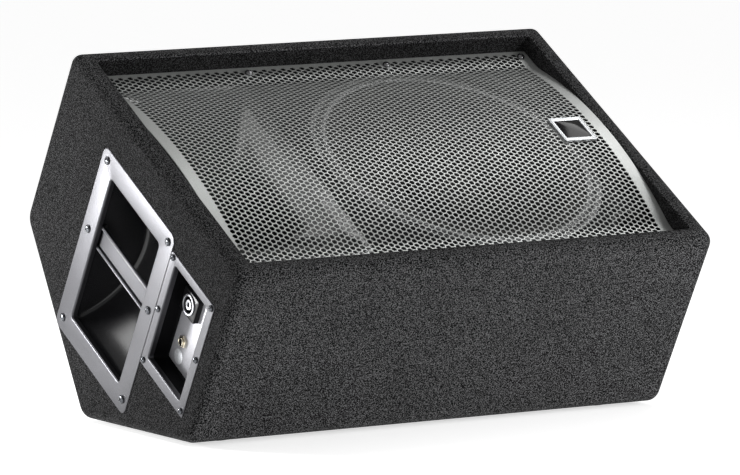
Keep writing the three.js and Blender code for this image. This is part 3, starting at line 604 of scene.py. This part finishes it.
def turned(bm, profile, point, segments):
    """Turns [radius, height] pairs about a line; point(radius, angle, height) gives the place."""
    rings = []
    for radius, height in profile:
        if radius <= 1e-6:
            rings.append([bm.verts.new(point(0, 0, height))])
            continue
        rings.append([bm.verts.new(point(radius, 2 * math.pi * i / segments, height))
                      for i in range(segments)])
    for first, second in zip(rings, rings[1:]):
        for i in range(segments):
            j = (i + 1) % segments
            corners = [first[i % len(first)], first[j % len(first)],
                       second[j % len(second)], second[i % len(second)]]
            unique = list(dict.fromkeys(corners))
            if len(unique) > 2:
                bm.faces.new(unique)


def about_n(x, u):
    """Places turned points about a line out of the baffle."""
    return lambda radius, angle, n: place(
        x + radius * math.cos(angle), u + radius * math.sin(angle), n)


def about_x(u, n):
    """Places turned points about a line across the cabinet."""
    return lambda radius, angle, x: place(
        x, u + radius * math.cos(angle), n + radius * math.sin(angle))


def turned_piece(name, profile, point, slot, segments, **options):
    bm = bmesh.new()
    turned(bm, profile, point, segments)
    bmesh.ops.recalc_face_normals(bm, faces=bm.faces)
    return finish_piece(name, bm, slot, **options)


def orient(bm, reference, outward=True):
    """Makes all faces agree, and the one furthest from the reference point look away from it."""
    bmesh.ops.remove_doubles(bm, verts=bm.verts, dist=1e-6)
    bmesh.ops.recalc_face_normals(bm, faces=bm.faces)
    centre = Vector(reference)
    furthest = max(bm.faces, key=lambda face: (face.calc_center_median() - centre).length)
    looks_out = furthest.normal.dot(furthest.calc_center_median() - centre) > 0
    if looks_out != outward:
        bmesh.ops.reverse_faces(bm, faces=bm.faces)


# -------------------------------------------- carpet
CARPET_STEP = 8
RECESS_ROUND = 4
CABINET_APEX = -FLANK - MID_U * math.tan(TILT)
CABINET_CORNERS = [(0, 0), (0, -FLANK), (MID_U, CABINET_APEX), (BAFFLE, -FLANK), (BAFFLE, 0)]
CORNER_RADII = [RIM_CORNER, BASE_CORNER, BASE_CORNER, BASE_CORNER, RIM_CORNER]
CABINET_CENTRE = place(WIDTH / 2, MID_U, -FLANK / 2)
OUTLINE_STEPS = 8  # segments round each corner of a plate
EDGE_PILE_AND_SHADE = 0.85  # how far the side faces and the side half of their rounded edges are darkened, from 0 to 1: painted shade, partly also the pile pulled open over the edges
# Painted shade: darkening set at the cut-outs under the plates and spread over the left side face.
PLATE_SHADE = 0.9
# Painted shade on the rim top and the flare into the recess.
RIM_SHADE = 0.5
UNDER_PLATE = 5  # how far outside a plate's opening the carpet stops


def plate_outline(plate, grow=0.0):
    return rectangle_loop(plate["u"], plate["n"], plate["corner"], grow, OUTLINE_STEPS)


def opening_outline(plate, grow=0.0):
    opening = plate["opening"]
    return rectangle_loop(opening["u"], opening["n"], opening["corner"], grow, OUTLINE_STEPS)


def make_carpet():
    """One skin with rounded edges that folds over the rim and down the recess, cut under the plates."""
    bm = bmesh.new()

    def section(inset):
        return rounded_loop(CABINET_CORNERS, CORNER_RADII, 10, inset, CARPET_STEP)

    top_parts = round(BAFFLE / CARPET_STEP)
    outer_count = len(section(0)) - (top_parts - 1)  # points up to the end of the last corner
    edge = quarter_turn(8)
    rounding = [(EDGE_RADIUS * (1 - math.sin(a)), EDGE_RADIUS * (1 - math.cos(a))) for a in edge]
    rounding.reverse()  # from the side face in to the full outline

    # Darkening per point read by the carpet material: painted shade, on the side edges partly the pile pulled open.
    pile_and_shade = bm.verts.layers.float.new("pile_and_shade")

    def full_ring(x, inset, stretch):
        ring = ring_of(bm, [place(x, u, n) for u, n in section(inset)])
        for vert in ring:
            vert[pile_and_shade] = stretch
        return ring

    # Darkest on the side faces, fading round the edges to nothing at the front: painted shade, partly the pile pulled
    # open over the edges.
    stretches = [EDGE_PILE_AND_SHADE * math.sin(a) ** 2 for a in reversed(edge)]
    left = [full_ring(x, inset, pull) for (x, inset), pull in zip(rounding, stretches)]
    right = [full_ring(WIDTH - x, inset, pull) for (x, inset), pull in zip(rounding, stretches)]
    for rings in (left, right):
        loft(bm, rings)

    columns = round((WIDTH - 2 * EDGE_RADIUS) / CARPET_STEP)
    across = [EDGE_RADIUS + (WIDTH - 2 * EDGE_RADIUS) * i / columns for i in range(columns + 1)]
    outline = section(0)[:outer_count]
    strips = [ring_of(bm, [place(x, u, n) for u, n in outline]) for x in across]
    loft(bm, strips, closed=False)

    up = (place(0, 0, 1) - place(0, 0, 0)).normalized()
    top = section(0)[outer_count - 1:] + [section(0)[0]]
    rim = [place(x, *outline[0]) for x in across]
    rim += [place(WIDTH - EDGE_RADIUS, *point) for point in reversed(top[:-1])]
    rim += [place(x, *outline[-1]) for x in reversed(across[:-1])]
    rim += [place(EDGE_RADIUS, *point) for point in top[1:-1]]

    def recess_ring(grow, n):
        points = rectangle_loop((LINED_WALL, WIDTH - LINED_WALL), (LINED_WALL, BAFFLE - LINED_WALL),
                                3, grow)
        return ring_of(bm, [place(x, u, n) for x, u in points])

    flare = quarter_turn(6)
    walls = [recess_ring(RECESS_ROUND * (1 - math.sin(a)), -RECESS_ROUND * (1 - math.cos(a)))
             for a in flare]
    walls += [recess_ring(0, n) for n in (-10, -16, BAFFLE_FRONT + 0.1)]
    # Painted shade: the recess walls below the flare are made darkest.
    for wall in walls[4:]:
        for vert in wall:
            vert[pile_and_shade] = 1.0
    loft(bm, walls)
    rim_ring = ring_of(bm, rim)
    # Painted shade on the rim and the top of the recess flare.
    for vert in rim_ring[len(across):] + walls[0] + walls[1]:
        vert[pile_and_shade] = RIM_SHADE
    fill_between(bm, [rim_ring, walls[0]], up)

    cut_outs = [ring_of(bm, [place(0, u, n) for u, n in opening_outline(plate, UNDER_PLATE)])
                for plate in (HANDLE, INPUT)]
    # Painted shade round the plates, spread over the left side face by the fill.
    for vert in cut_outs[0] + cut_outs[1]:
        vert[pile_and_shade] = PLATE_SHADE
    fill_between(bm, [left[0], *cut_outs], Vector((-1, 0, 0)))
    fill_between(bm, [right[0]], Vector((1, 0, 0)))
    orient(bm, CABINET_CENTRE)
    finish_piece("carpet", bm, "carpet", stands_for=["carpet_cover"], thickness=CARPET - 0.2, sharp=60)


# -------------------------------------------- grille
HOLE_SPACING = HOLE_PITCH * math.sin(math.radians(60))
GRILLE_X = (21, WIDTH - 21)
GRILLE_MARGIN = 12
SCREW_LAND = 5.5  # holes nearer than this to a screw's centre are left out
GRILLE_SHEET = 0.8
GRILLE_SWEEP = math.acos(1 - GRILLE["rise"] / (GRILLE["radius"] + GRILLE["fillet"]))
GRILLE_REACH = (GRILLE["radius"] + GRILLE["fillet"]) * math.sin(GRILLE_SWEEP)
GRILLE_ARC = (GRILLE["radius"] + GRILLE["fillet"]) * GRILLE_SWEEP
GRILLE_HALF = GRILLE_ARC + MID_U - LINED_WALL - 0.4 - GRILLE_REACH


def grille_point(x, along, lift=0.0):
    """A place on the arched sheet; along is measured on its underside from the crown."""
    distance = abs(along)
    radius, fillet, rise = GRILLE["radius"], GRILLE["fillet"], GRILLE["rise"]
    if distance <= radius * GRILLE_SWEEP:
        angle = distance / radius
        v, height = radius * math.sin(angle), rise - radius + radius * math.cos(angle)
    elif distance <= GRILLE_ARC:
        angle = GRILLE_SWEEP - (distance - radius * GRILLE_SWEEP) / fillet
        v, height = GRILLE_REACH - fillet * math.sin(angle), fillet - fillet * math.cos(angle)
    else:
        angle = 0.0
        v, height = GRILLE_REACH + distance - GRILLE_ARC, 0.0
    v += lift * math.sin(angle)
    height += lift * math.cos(angle)
    return place(x, MID_U + math.copysign(v, along), GRILLE["bottom"] + height)


def hexagon(x, along, across_flats):
    radius = across_flats / math.sqrt(3)
    return [(x + radius * math.cos(math.pi / 3 * i), along + radius * math.sin(math.pi / 3 * i))
            for i in range(6)]


def make_grille():
    """A perforated sheet laid out flat with its hexagonal holes, then bent to the arch."""
    bm = bmesh.new()
    corners = {}

    def shared(point):
        key = (round(point[0], 2), round(point[1], 2))
        if key not in corners:
            corners[key] = bm.verts.new((*point, 0))
        return corners[key]

    screws = [(x, side * (GRILLE_ARC + BAFFLE - GRILLE_SCREWS["from_edge"] - MID_U - GRILLE_REACH))
              for x in GRILLE_SCREWS["x"] for side in (-1, 1)]
    x_low, x_high = GRILLE_X[0] + GRILLE_MARGIN, GRILLE_X[1] - GRILLE_MARGIN
    columns = int((x_high - x_low) / HOLE_SPACING)
    rows = int(GRILLE_HALF / HOLE_PITCH)
    start = (x_low + x_high - (columns - 1) * HOLE_SPACING) / 2
    for column in range(columns):
        x = start + column * HOLE_SPACING
        for row in range(-rows, rows + 1):
            along = (row + (column % 2) / 2) * HOLE_PITCH
            if abs(along) + HOLE_PITCH / 2 > GRILLE_HALF - 1:
                continue
            cell = [shared(point) for point in hexagon(x, along, HOLE_PITCH)]
            if any(math.dist((x, along), screw) < SCREW_LAND for screw in screws):
                bm.faces.new(cell)
                continue
            hole = [bm.verts.new((*point, 0)) for point in hexagon(x, along, HOLE_ACROSS)]
            bridge(bm, cell, hole)
    shared_corners = set(corners.values())
    border = [edge for edge in bm.edges if edge.is_boundary and set(edge.verts) <= shared_corners]
    around = []
    ends = ((GRILLE_X[0], -GRILLE_HALF), (GRILLE_X[1], -GRILLE_HALF),
            (GRILLE_X[1], GRILLE_HALF), (GRILLE_X[0], GRILLE_HALF))
    for first, second in zip(ends, ends[1:] + ends[:1]):
        parts = round(math.dist(first, second) / HOLE_PITCH)
        around += [bm.verts.new((*Vector(first).lerp(Vector(second), k / parts), 0))
                   for k in range(parts)]
    border += [bm.edges.new((vert, around[(i + 1) % len(around)])) for i, vert in enumerate(around)]
    bmesh.ops.triangle_fill(bm, use_beauty=True, edges=border)
    for vert in bm.verts:
        vert.co = grille_point(vert.co.x, vert.co.y, GRILLE["steel"])
    orient(bm, place(WIDTH / 2, MID_U, -3000))
    finish_piece("grille_sheet", bm, "grille_steel", stands_for=["grille"],
                 thickness=GRILLE_SHEET, sharp=50)


# -------------------------------------------- badge
def square_ring(bm, inset, height):
    half = BADGE["size"] / 2 - inset
    points = rectangle_loop((BADGE["x"] - half, BADGE["x"] + half),
                            (BADGE["u"] - half, BADGE["u"] + half), max(1.6 - inset, 0.3), 0, 5)
    return ring_of(bm, [place(x, u, BADGE["bottom"] + height) for x, u in points])


def make_badge():
    """A bright frame with a fine groove round it, and a plain gloss face sunk inside."""
    top = BADGE["height"]
    bm = bmesh.new()
    profile = [(4.5, 0), (0, 0), (0, top - 0.4), (0.4, top), (1.2, top), (1.5, top - 0.6),
               (1.9, top - 0.6), (2.2, top), (4.0, top), (4.5, top - 0.6), (4.5, 0)]
    rings = [square_ring(bm, inset, height) for inset, height in profile]
    loft(bm, rings)
    orient(bm, place(BADGE["x"], BADGE["u"], BADGE["bottom"]))
    finish_piece("badge_surround", bm, "badge_metal", stands_for=["badge_frame"], sharp=25)
    bm = bmesh.new()
    profile = [(4.7, 0.05), (4.7, top - 1.0), (5.1, top - 0.8)]
    rings = [square_ring(bm, inset, height) for inset, height in profile]
    loft(bm, rings)
    bm.faces.new(rings[-1])
    bm.faces.new(list(reversed(rings[0])))
    orient(bm, place(BADGE["x"], BADGE["u"], BADGE["bottom"]))
    finish_piece("badge_plain_face", bm, "badge_black", stands_for=["badge_face"])


# -------------------------------------------- plates, pan, bar and dish
OUTWARD = Vector((-1, 0, 0))
INSIDE_CABINET = place(40, 150, -130)
DISH_MIDDLE = [sum(INPUT["opening"][axis]) / 2 for axis in ("u", "n")]


def make_plate(name, plate, roll):
    """A pressed steel plate: a chamfered outline and an edge rolled into its opening."""
    bm = bmesh.new()
    chamfer = 0.45

    def ring(outline, x):
        return ring_of(bm, [place(x, u, n) for u, n in outline])

    border = [ring(plate_outline(plate), PLATE_FRONT + chamfer),
              ring(plate_outline(plate, -chamfer), PLATE_FRONT)]
    bridge(bm, *border)
    lip = []
    for angle in quarter_turn(6):
        lip.append(ring(opening_outline(plate, roll * (1 - math.sin(angle))),
                        PLATE_FRONT + roll * (1 - math.cos(angle))))
    lip.append(ring(opening_outline(plate), PLATE_FRONT + LIP_DEPTH))
    loft(bm, lip)
    fill_between(bm, [border[1], lip[0]], OUTWARD)
    orient(bm, INSIDE_CABINET)
    finish_piece(name, bm, "textured_grey_steel", stands_for=[name.replace("_pressing", "")],
                 thickness=STEEL, sharp=30)


def make_pan():
    """The moulded hand space: a round scoop with soft corners where it meets its flat end walls."""
    opening = HANDLE["opening"]
    n_low, n_high = opening["n"][0] - CUP_CLEARANCE, opening["n"][1] + CUP_CLEARANCE
    u_low, u_high = opening["u"][0] - CUP_CLEARANCE, opening["u"][1] + CUP_CLEARANCE
    middle, half = (n_low + n_high) / 2, (n_high - n_low) / 2
    straight = LIP_DEPTH + 1
    deep = PAN_FLOOR - straight
    radius = (half * half + deep * deep) / (2 * deep)
    sweep = math.asin(half / radius)
    corner = 6.0
    bm = bmesh.new()

    def arc(u, offset):
        """The scoop's section moved inwards by the offset."""
        points = [(0.8, n_low + offset)]
        for step in range(41):
            angle = sweep * (step / 20 - 1)
            points.append((straight + deep - radius + (radius - offset) * math.cos(angle),
                           middle + (radius - offset) * math.sin(angle)))
        points.append((0.8, n_high - offset))
        return ring_of(bm, [place(x, u, n) for x, n in points])

    turns = quarter_turn(6)
    ends = [(corner * (1 - math.cos(a)), corner * (1 - math.sin(a))) for a in turns]
    sections = [arc(u_low + depth, offset) for depth, offset in ends]
    sections += [arc(u_low + corner + (u_high - u_low - 2 * corner) * k / 10, 0) for k in range(1, 10)]
    sections += [arc(u_high - depth, offset) for depth, offset in reversed(ends)]
    loft(bm, sections, closed=False)
    bm.faces.new(sections[0])
    bm.faces.new(sections[-1])
    orient(bm, place(20, (u_low + u_high) / 2, middle), outward=False)
    finish_piece("handle_pan_moulding", bm, "black_plastic", stands_for=["handle_pan"],
                 thickness=2.0, sharp=30)


def make_bar():
    """A steel strip with a bead rolled along each edge and a groove beside the lower bead."""
    u_low, u_high = HANDLE["opening"]["u"][0] + 0.3, HANDLE["opening"]["u"][1] - 0.3
    bead, web = BAR["bead"], BAR["web"]
    centre_x = web - 0.6
    upper, lower = BAR["n"] + BAR["width"] / 2 - bead, BAR["n"] - BAR["width"] / 2 + bead
    touch = math.asin((web - centre_x) / bead)

    def around(n, start, end):
        angles = [start + (end - start) * k / 16 for k in range(17)]
        return [(centre_x + bead * math.sin(a), n + bead * math.cos(a)) for a in angles]

    groove = web + 0.8
    outline = around(upper, math.pi - touch, -math.pi * 1.5)
    outline += around(lower, math.pi / 2, 2 * math.pi + touch)
    outline += [(groove, lower + bead + 0.1), (groove, lower + bead + 1.6), (web, lower + bead + 1.7)]
    bend = 4.0
    turns = quarter_turn(6)
    ends = [(bend * (1 - math.sin(a)), bend * (1 - math.cos(a))) for a in turns]
    stations = [(u_low + along, inward) for inward, along in ends]
    stations += [(u_high - along, inward) for inward, along in reversed(ends)]
    bm = bmesh.new()
    rings = [ring_of(bm, [place(x + inward, u, n) for x, n in outline]) for u, inward in stations]
    loft(bm, rings)
    bm.faces.new(rings[0])
    bm.faces.new(rings[-1])
    bmesh.ops.recalc_face_normals(bm, faces=bm.faces)
    finish_piece("handle_bar_strip", bm, "textured_grey_steel", stands_for=["handle_bar"], sharp=35)


def circle_ring(bm, u, n, radius, x, count=32):
    angles = [2 * math.pi * k / count for k in range(count)]
    return ring_of(bm, [place(x, u + radius * math.cos(a), n + radius * math.sin(a))
                        for a in angles])


def make_dish():
    """The shallow moulded dish behind the input plate, and a pale panel on its floor: a painted highlight for the lit
    patch there.
    """
    bm = bmesh.new()
    corner = 3.0
    angles = quarter_turn(6)
    rings = [ring_of(bm, [place(0.8, u, n) for u, n in opening_outline(INPUT, CUP_CLEARANCE)])]
    for a in angles:
        rings.append(ring_of(bm, [
            place(DISH_FLOOR - corner * (1 - math.sin(a)), u, n)
            for u, n in opening_outline(INPUT, CUP_CLEARANCE - corner * (1 - math.cos(a)))]))
    loft(bm, rings)
    bm.faces.new(rings[-1])
    orient(bm, place(0, *DISH_MIDDLE), outward=False)
    finish_piece("input_dish_moulding", bm, "black_plastic", stands_for=["input_dish"],
                 thickness=2.0, sharp=30, look=LOOKS["dish_plastic"])
    # A pale panel on the dish floor: a painted highlight for the lit patch on the dark dish.
    bm = bmesh.new()
    panel = [ring_of(bm, [place(DISH_FLOOR - height, u, n)
                          for u, n in opening_outline(INPUT, CUP_CLEARANCE - corner - inset)])
             for height, inset in ((0.02, 0), (0.5, 0), (0.7, 0.3))]
    loft(bm, panel)
    bm.faces.new(panel[0])
    bm.faces.new(panel[-1])
    orient(bm, place(DISH_FLOOR, *DISH_MIDDLE))
    finish_piece("input_dish_highlight", bm, "textured_grey_steel", look=LOOKS["dish_highlight_panel"])


def make_socket():
    """A square block with a raised pale collar, a round well and a round core."""
    u, n = SOCKET["u"], SOCKET["n"]
    front = DISH_FLOOR - SOCKET["raised"]
    bm = bmesh.new()
    half_u, half_n = SOCKET["width"] / 2, SOCKET["height"] / 2

    def block(inset, x):
        points = rectangle_loop((u - half_u, u + half_u), (n - half_n, n + half_n), 2.5, -inset)
        return ring_of(bm, [place(x, *point) for point in points])

    walls = [block(0, DISH_FLOOR), block(0, front + 0.8), block(0.3, front + 0.25), block(0.9, front)]
    loft(bm, walls)
    well = [circle_ring(bm, u, n, radius, x) for radius, x in
            ((9.2, front), (9.0, front + 0.4), (9.0, DISH_FLOOR + 14))]
    loft(bm, well)
    fill_between(bm, [walls[-1], well[0]], OUTWARD)
    bm.faces.new(well[-1])
    bmesh.ops.recalc_face_normals(bm, faces=bm.faces)
    finish_piece("speaker_socket_block", bm, "socket_plastic", stands_for=["speaker_socket"], sharp=30)
    about = about_x(u, n)
    collar = [(9.0, front + 0.5), (9.0, front - 1.3), (9.3, front - 1.6), (10.7, front - 1.6),
              (11.2, front - 1.1), (11.2, front + 0.3), (9.0, front + 0.5)]
    turned_piece("speaker_socket_collar", collar, about, "zinc_steel", 48)
    core = [(0, front + 4), (2.4, front + 4), (2.4, front - 0.7), (2.9, front - 1.1),
            (5.0, front - 1.1), (5.5, front - 0.6), (5.5, DISH_FLOOR + 13.9), (0, DISH_FLOOR + 13.9)]
    turned_piece("speaker_socket_core", core, about, "zinc_steel", 40)


def make_jack():
    """A quarter-inch jack: a threaded bright bush, its hexagon nut and a dark plastic bore."""
    u, n = JACK["u"], JACK["n"]
    floor = DISH_FLOOR - 0.7
    about = about_x(u, n)
    bush = [(3.3, floor + 3), (3.3, floor - 3.9), (3.8, floor - 4.4), (4.3, floor - 4.0),
            (4.3, floor - 3.1)]
    for turn in range(4):
        bush += [(4.55, floor - 3.0 + turn * 0.7), (4.2, floor - 2.65 + turn * 0.7)]
    bush += [(4.3, floor), (4.3, floor + 3), (3.3, floor + 3)]
    turned_piece("jack_bush", bush, about, "nickel", 40, stands_for=["jack_socket"])
    nut = bmesh.new()

    def outline(radius, x):
        angles = [math.pi / 6 + math.pi / 3 * k for k in range(6)]
        return ring_of(nut, [place(x, u + radius * math.cos(a), n + radius * math.sin(a))
                             for a in angles])

    profile = [(6.9, floor), (6.9, floor - 2.2), (6.2, floor - 2.7)]
    rings = [outline(radius, x) for radius, x in profile]
    bores = [circle_ring(nut, u, n, 4.4, x, 24) for x in (floor, floor - 2.7)]
    loft(nut, rings)
    bridge(nut, *bores)
    fill_between(nut, [rings[-1], bores[1]], OUTWARD)
    fill_between(nut, [rings[0], bores[0]], -OUTWARD)
    bmesh.ops.recalc_face_normals(nut, faces=nut.faces)
    finish_piece("jack_nut", nut, "nickel", sharp=20)
    bore = [(3.2, floor + 2.5), (3.2, floor - 3.2), (2.9, floor - 3.4), (2.7, floor - 3.0),
            (2.7, floor + 1.0), (0, floor + 1.0)]
    turned_piece("jack_bore", bore, about, "black_plastic", 32)
    radius = DISC["radius"]
    disc = [(0, floor - 0.02), (radius, floor - 0.02), (radius, floor - 0.25),
            (radius - 0.2, floor - 0.35), (0, floor - 0.35)]
    turned_piece("blank_foil_disc", disc, about_x(DISC["u"], DISC["n"]), "badge_metal", 48,
                 look=LOOKS["foil"])


# -------------------------------------------- screws
def make_screw(name, point, size, slot, turn):
    """A pan-head cross-recess screw. point(a, b, h) gives the place beside and above its seat."""
    head, height, length, shank = size["head"], size["height"], size["length"], SHANK_RADIUS
    bm = bmesh.new()
    count = 32

    def ring(radius, h):
        angles = [2 * math.pi * k / count for k in range(count)]
        return ring_of(bm, [point(radius * math.cos(a), radius * math.sin(a), h) for a in angles])

    profile = [(0.01, -length), (shank * 0.5, -length), (shank, -length + shank), (shank, -0.02),
               (head, 0.0), (head, height * 0.28)]
    dome = [math.radians(d) for d in (18, 36, 52, 66)]
    profile += [(head * math.cos(a) ** 0.6, height * (0.28 + 0.72 * math.sin(a))) for a in dome]
    rings = [ring(*pair) for pair in profile]
    loft(bm, rings)
    bm.faces.new(rings[0])
    wide, reach = head * 0.11, head * 0.56

    def cross(scale, h):
        corners = []
        for quarter in range(4):
            angle = math.pi / 2 * quarter + turn
            c, s = math.cos(angle), math.sin(angle)
            for a, b in ((reach * scale, -wide), (reach * scale, wide), (wide, wide)):
                corners.append(point(a * c - b * s, a * s + b * c, h))
        return ring_of(bm, corners)

    mouth, floor = cross(1.0, height), cross(0.55, height * 0.3)
    fill_between(bm, [rings[-1], mouth], point(0, 0, 1) - point(0, 0, 0))
    bridge(bm, mouth, floor)
    bm.faces.new(floor)
    bmesh.ops.recalc_face_normals(bm, faces=bm.faces)
    finish_piece(name + "_detail", bm, slot, stands_for=[name], sharp=30)


def make_screws():
    seat = PLATE_FRONT - 0.05
    rows = ("bottom", "middle", "top")
    for prefix, screws in (("handle_screw", HANDLE_SCREWS), ("input_screw", INPUT_SCREWS)):
        for i, n in enumerate(screws["n"]):
            for j, (end, u) in enumerate(zip(("front", "rear"), screws["u"])):
                def point(a, b, h, u=u, n=n):
                    return place(seat - h, u + a, n + b)
                turn = 0.5 + 1.1 * i + 0.7 * j  # each screw stopped at its own angle
                make_screw(f"{prefix}_{rows[i]}_{end}", point, screws, "plate_screws", turn)
    seat = GRILLE["bottom"] + GRILLE["steel"] + 0.05
    for row, u in (("front", GRILLE_SCREWS["from_edge"]), ("rear", BAFFLE - GRILLE_SCREWS["from_edge"])):
        for i, x in enumerate(GRILLE_SCREWS["x"]):
            def point(a, b, h, u=u, x=x):
                return place(x + a, u + b, seat + h)
            make_screw(f"grille_screw_{row}_{i + 1}", point, GRILLE_SCREWS, "black_screws",
                       0.3 + 0.9 * i)


# -------------------------------------------- woofer, horn and feet
CLOTH_SECTORS = 16


def make_woofer():
    about = about_n(WOOFER["x"], WOOFER["u"])
    neck, neck_n, paper = CONE["neck"], CONE["neck_n"], CONE["paper"]
    spread, rise = CONE["edge"] - neck, CONE["edge_n"] - neck_n
    under = [(neck + spread * t, neck_n + rise * t - CONE["belly"] * math.sin(math.pi * t))
             for t in (k / 24 for k in range(25))]
    top = [(radius, n + paper) for radius, n in under]
    coil = [(COIL["outer"], COIL["to"]), (COIL["outer"], COIL["from"]),
            (COIL["inner"], COIL["from"]), (COIL["inner"], neck_n + paper)]
    turned_piece("woofer_cone_paper", top[::-1] + coil[::-1] + under, about, "cone_paper", 96,
                 body="woofer_motion", stands_for=["woofer_cone"])
    base = neck_n + paper + (DUST_CAP["radius"] - neck) * rise / spread + 0.2

    def dome(inset, angles):
        return [((DUST_CAP["radius"] - inset) * math.cos(a), base + (DUST_CAP["rise"] - inset) * math.sin(a))
                for a in angles]

    angles = quarter_turn(12)
    outside = dome(0, angles)
    inside = dome(DUST_CAP["skin"], angles[::-1])
    turned_piece("woofer_cap", outside + inside + outside[:1], about, "cone_paper", 96,
                 body="woofer_motion", stands_for=["woofer_dust_cap"])


def folded_section(cloth):
    """The closed section of a folded ring: its upper line outwards, then its under side back."""
    inner, inner_n, folds = cloth["inner"], cloth["inner_n"], cloth["folds"]
    count = 12 * folds
    line = []
    for k in range(count + 1):
        t = k / count
        flat_at_the_edges = min(1, 8 * t, 8 * (1 - t))
        wave = FOLD_HEIGHT * flat_at_the_edges * math.sin(2 * math.pi * folds * t)
        line.append((inner + (cloth["outer"] - inner) * t,
                     inner_n + (cloth["outer_n"] - inner_n) * t + wave))
    return line + [(radius, n - cloth["sheet"]) for radius, n in reversed(line)]


def make_folded_ring(name, cloth):
    """A cloth ring in sectors: each stretches along its own radius as the cone moves."""
    about = about_n(WOOFER["x"], WOOFER["u"])
    section = folded_section(cloth)
    moving, still = cloth["moving"], cloth["still"]
    width = 2 * math.pi / CLOTH_SECTORS
    for sector in range(CLOTH_SECTORS):
        bm = bmesh.new()
        rings = [ring_of(bm, [about(radius, width * (sector + k / 4), n) for radius, n in section])
                 for k in range(5)]
        loft(bm, rings)
        bm.faces.new(rings[0])
        bm.faces.new(rings[-1])
        bmesh.ops.recalc_face_normals(bm, faces=bm.faces)
        piece = finish_piece(f"{name}_sector_{sector + 1}", bm, "treated_cloth", body=None,
                             stands_for=[name], sharp=60)
        middle = width * (sector + 0.5)
        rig.blend(piece, "cabinet", "woofer_motion", about(still, middle, 0), about(moving, middle, 0))


def make_gasket():
    """The pressed ring that clamps the surround to the woofer's frame."""
    about = about_n(WOOFER["x"], WOOFER["u"])
    seat = -24 + 0.05
    ring = [(137.5, seat), (137.5, seat + 1.1), (138.6, seat + 1.6), (147.4, seat + 1.6),
            (148.5, seat + 0.9), (148.5, seat), (137.5, seat)]
    turned_piece("woofer_clamp_ring", ring, about, "black_steel", 128)


def make_horn():
    """The flared horn: rounded-rectangular mouth narrowing to a round throat, on a flat flange."""
    mouth_n = BAFFLE_FRONT - 0.3
    throat = HORN["throat"]
    bm = bmesh.new()
    count = 96

    def section(depth):
        flare = (1 - depth / HORN["depth"]) ** 1.5
        half_x = throat + (HORN["width"] / 2 - throat) * flare
        half_u = throat + (HORN["length"] / 2 - throat) * flare
        power = 2 + 10 * min(1, flare * 4)
        points = []
        for k in range(count):
            angle = 2 * math.pi * (k + 0.5) / count
            c, s = math.cos(angle), math.sin(angle)
            reach = (abs(c) ** power + abs(s) ** power) ** (-1 / power)
            points.append(place(HORN["x"] + half_x * c * reach, HORN["u"] + half_u * s * reach,
                                mouth_n - depth))
        return ring_of(bm, points)

    rings = [section(HORN["depth"] * (k / 20) ** 1.3) for k in range(20)]
    rings.append(section(HORN["depth"] * 0.999))
    loft(bm, rings)

    def flange_ring(inset, n):
        half_x, half_u = (size / 2 - inset for size in HORN["flange"])
        outline = rectangle_loop((HORN["x"] - half_x, HORN["x"] + half_x),
                                 (HORN["u"] - half_u, HORN["u"] + half_u),
                                 HORN["flange_corner"] - inset, 0, 8)
        return ring_of(bm, [place(x, u, n) for x, u in outline])

    flange = [flange_ring(0, mouth_n - 0.6), flange_ring(0.5, mouth_n)]
    bridge(bm, *flange)
    fill_between(bm, [flange[1], rings[0]], place(0, 0, 1) - place(0, 0, 0))
    orient(bm, place(HORN["x"], HORN["u"], 600), outward=False)
    finish_piece("horn_flare", bm, "horn_plastic", stands_for=["horn"], thickness=HORN["wall"],
                 sharp=40)


def make_feet():
    for end in ("front", "rear"):
        for side in ("left", "right"):
            name = f"foot_{end}_{side}"
            low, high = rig.box(name)
            x, y = (low[0] + high[0]) / 2, (low[1] + high[1]) / 2
            tall = (high[2] - low[2]) / MM

            def about(radius, angle, h, x=x, y=y):
                return Vector((x + MM * radius * math.cos(angle), y + MM * radius * math.sin(angle),
                               MM * h))

            profile = [(0, 1.6), (3.4, 1.6), (3.6, 0.4), (4.2, 0), (12.2, 0), (12.9, 0.5),
                       (14.9, tall - 0.4), (14.6, tall), (0, tall)]
            turned_piece(f"rubber_{name}", profile, about, "foot_rubber", 48, stands_for=[name])


# -------------------------------------------- CAD pieces that stay as they are
def dress_cad_nodes():
    """Gives the carried-over CAD pieces the material of their slot in the record."""
    slots = {item["node"]: item["material_slot"] for item in frame["record"]["subparts"]}
    for name, piece in frame["nodes"].items():
        look = LOOKS[slots[name]]
        piece.data.materials.clear()
        piece.data.materials.append(look)


make_camera()
make_studio()
dress_cad_nodes()
make_carpet()
make_grille()
make_badge()
make_plate("handle_plate_pressing", HANDLE, 2.2)
make_plate("input_plate_pressing", INPUT, 1.6)
make_pan()
make_bar()
make_dish()
make_socket()
make_jack()
make_screws()
make_woofer()
make_folded_ring("woofer_surround", SURROUND)
make_folded_ring("woofer_spider", SPIDER)
make_gasket()
make_horn()
make_feet()

visual_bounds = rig.bounds()
with open("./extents.json", "w") as size_file:
    corners = [[[float(v) for v in corner] for corner in box] for box in (cad_bounds, visual_bounds)]
    json.dump({"cad": corners[0], "visual": corners[1]}, size_file)
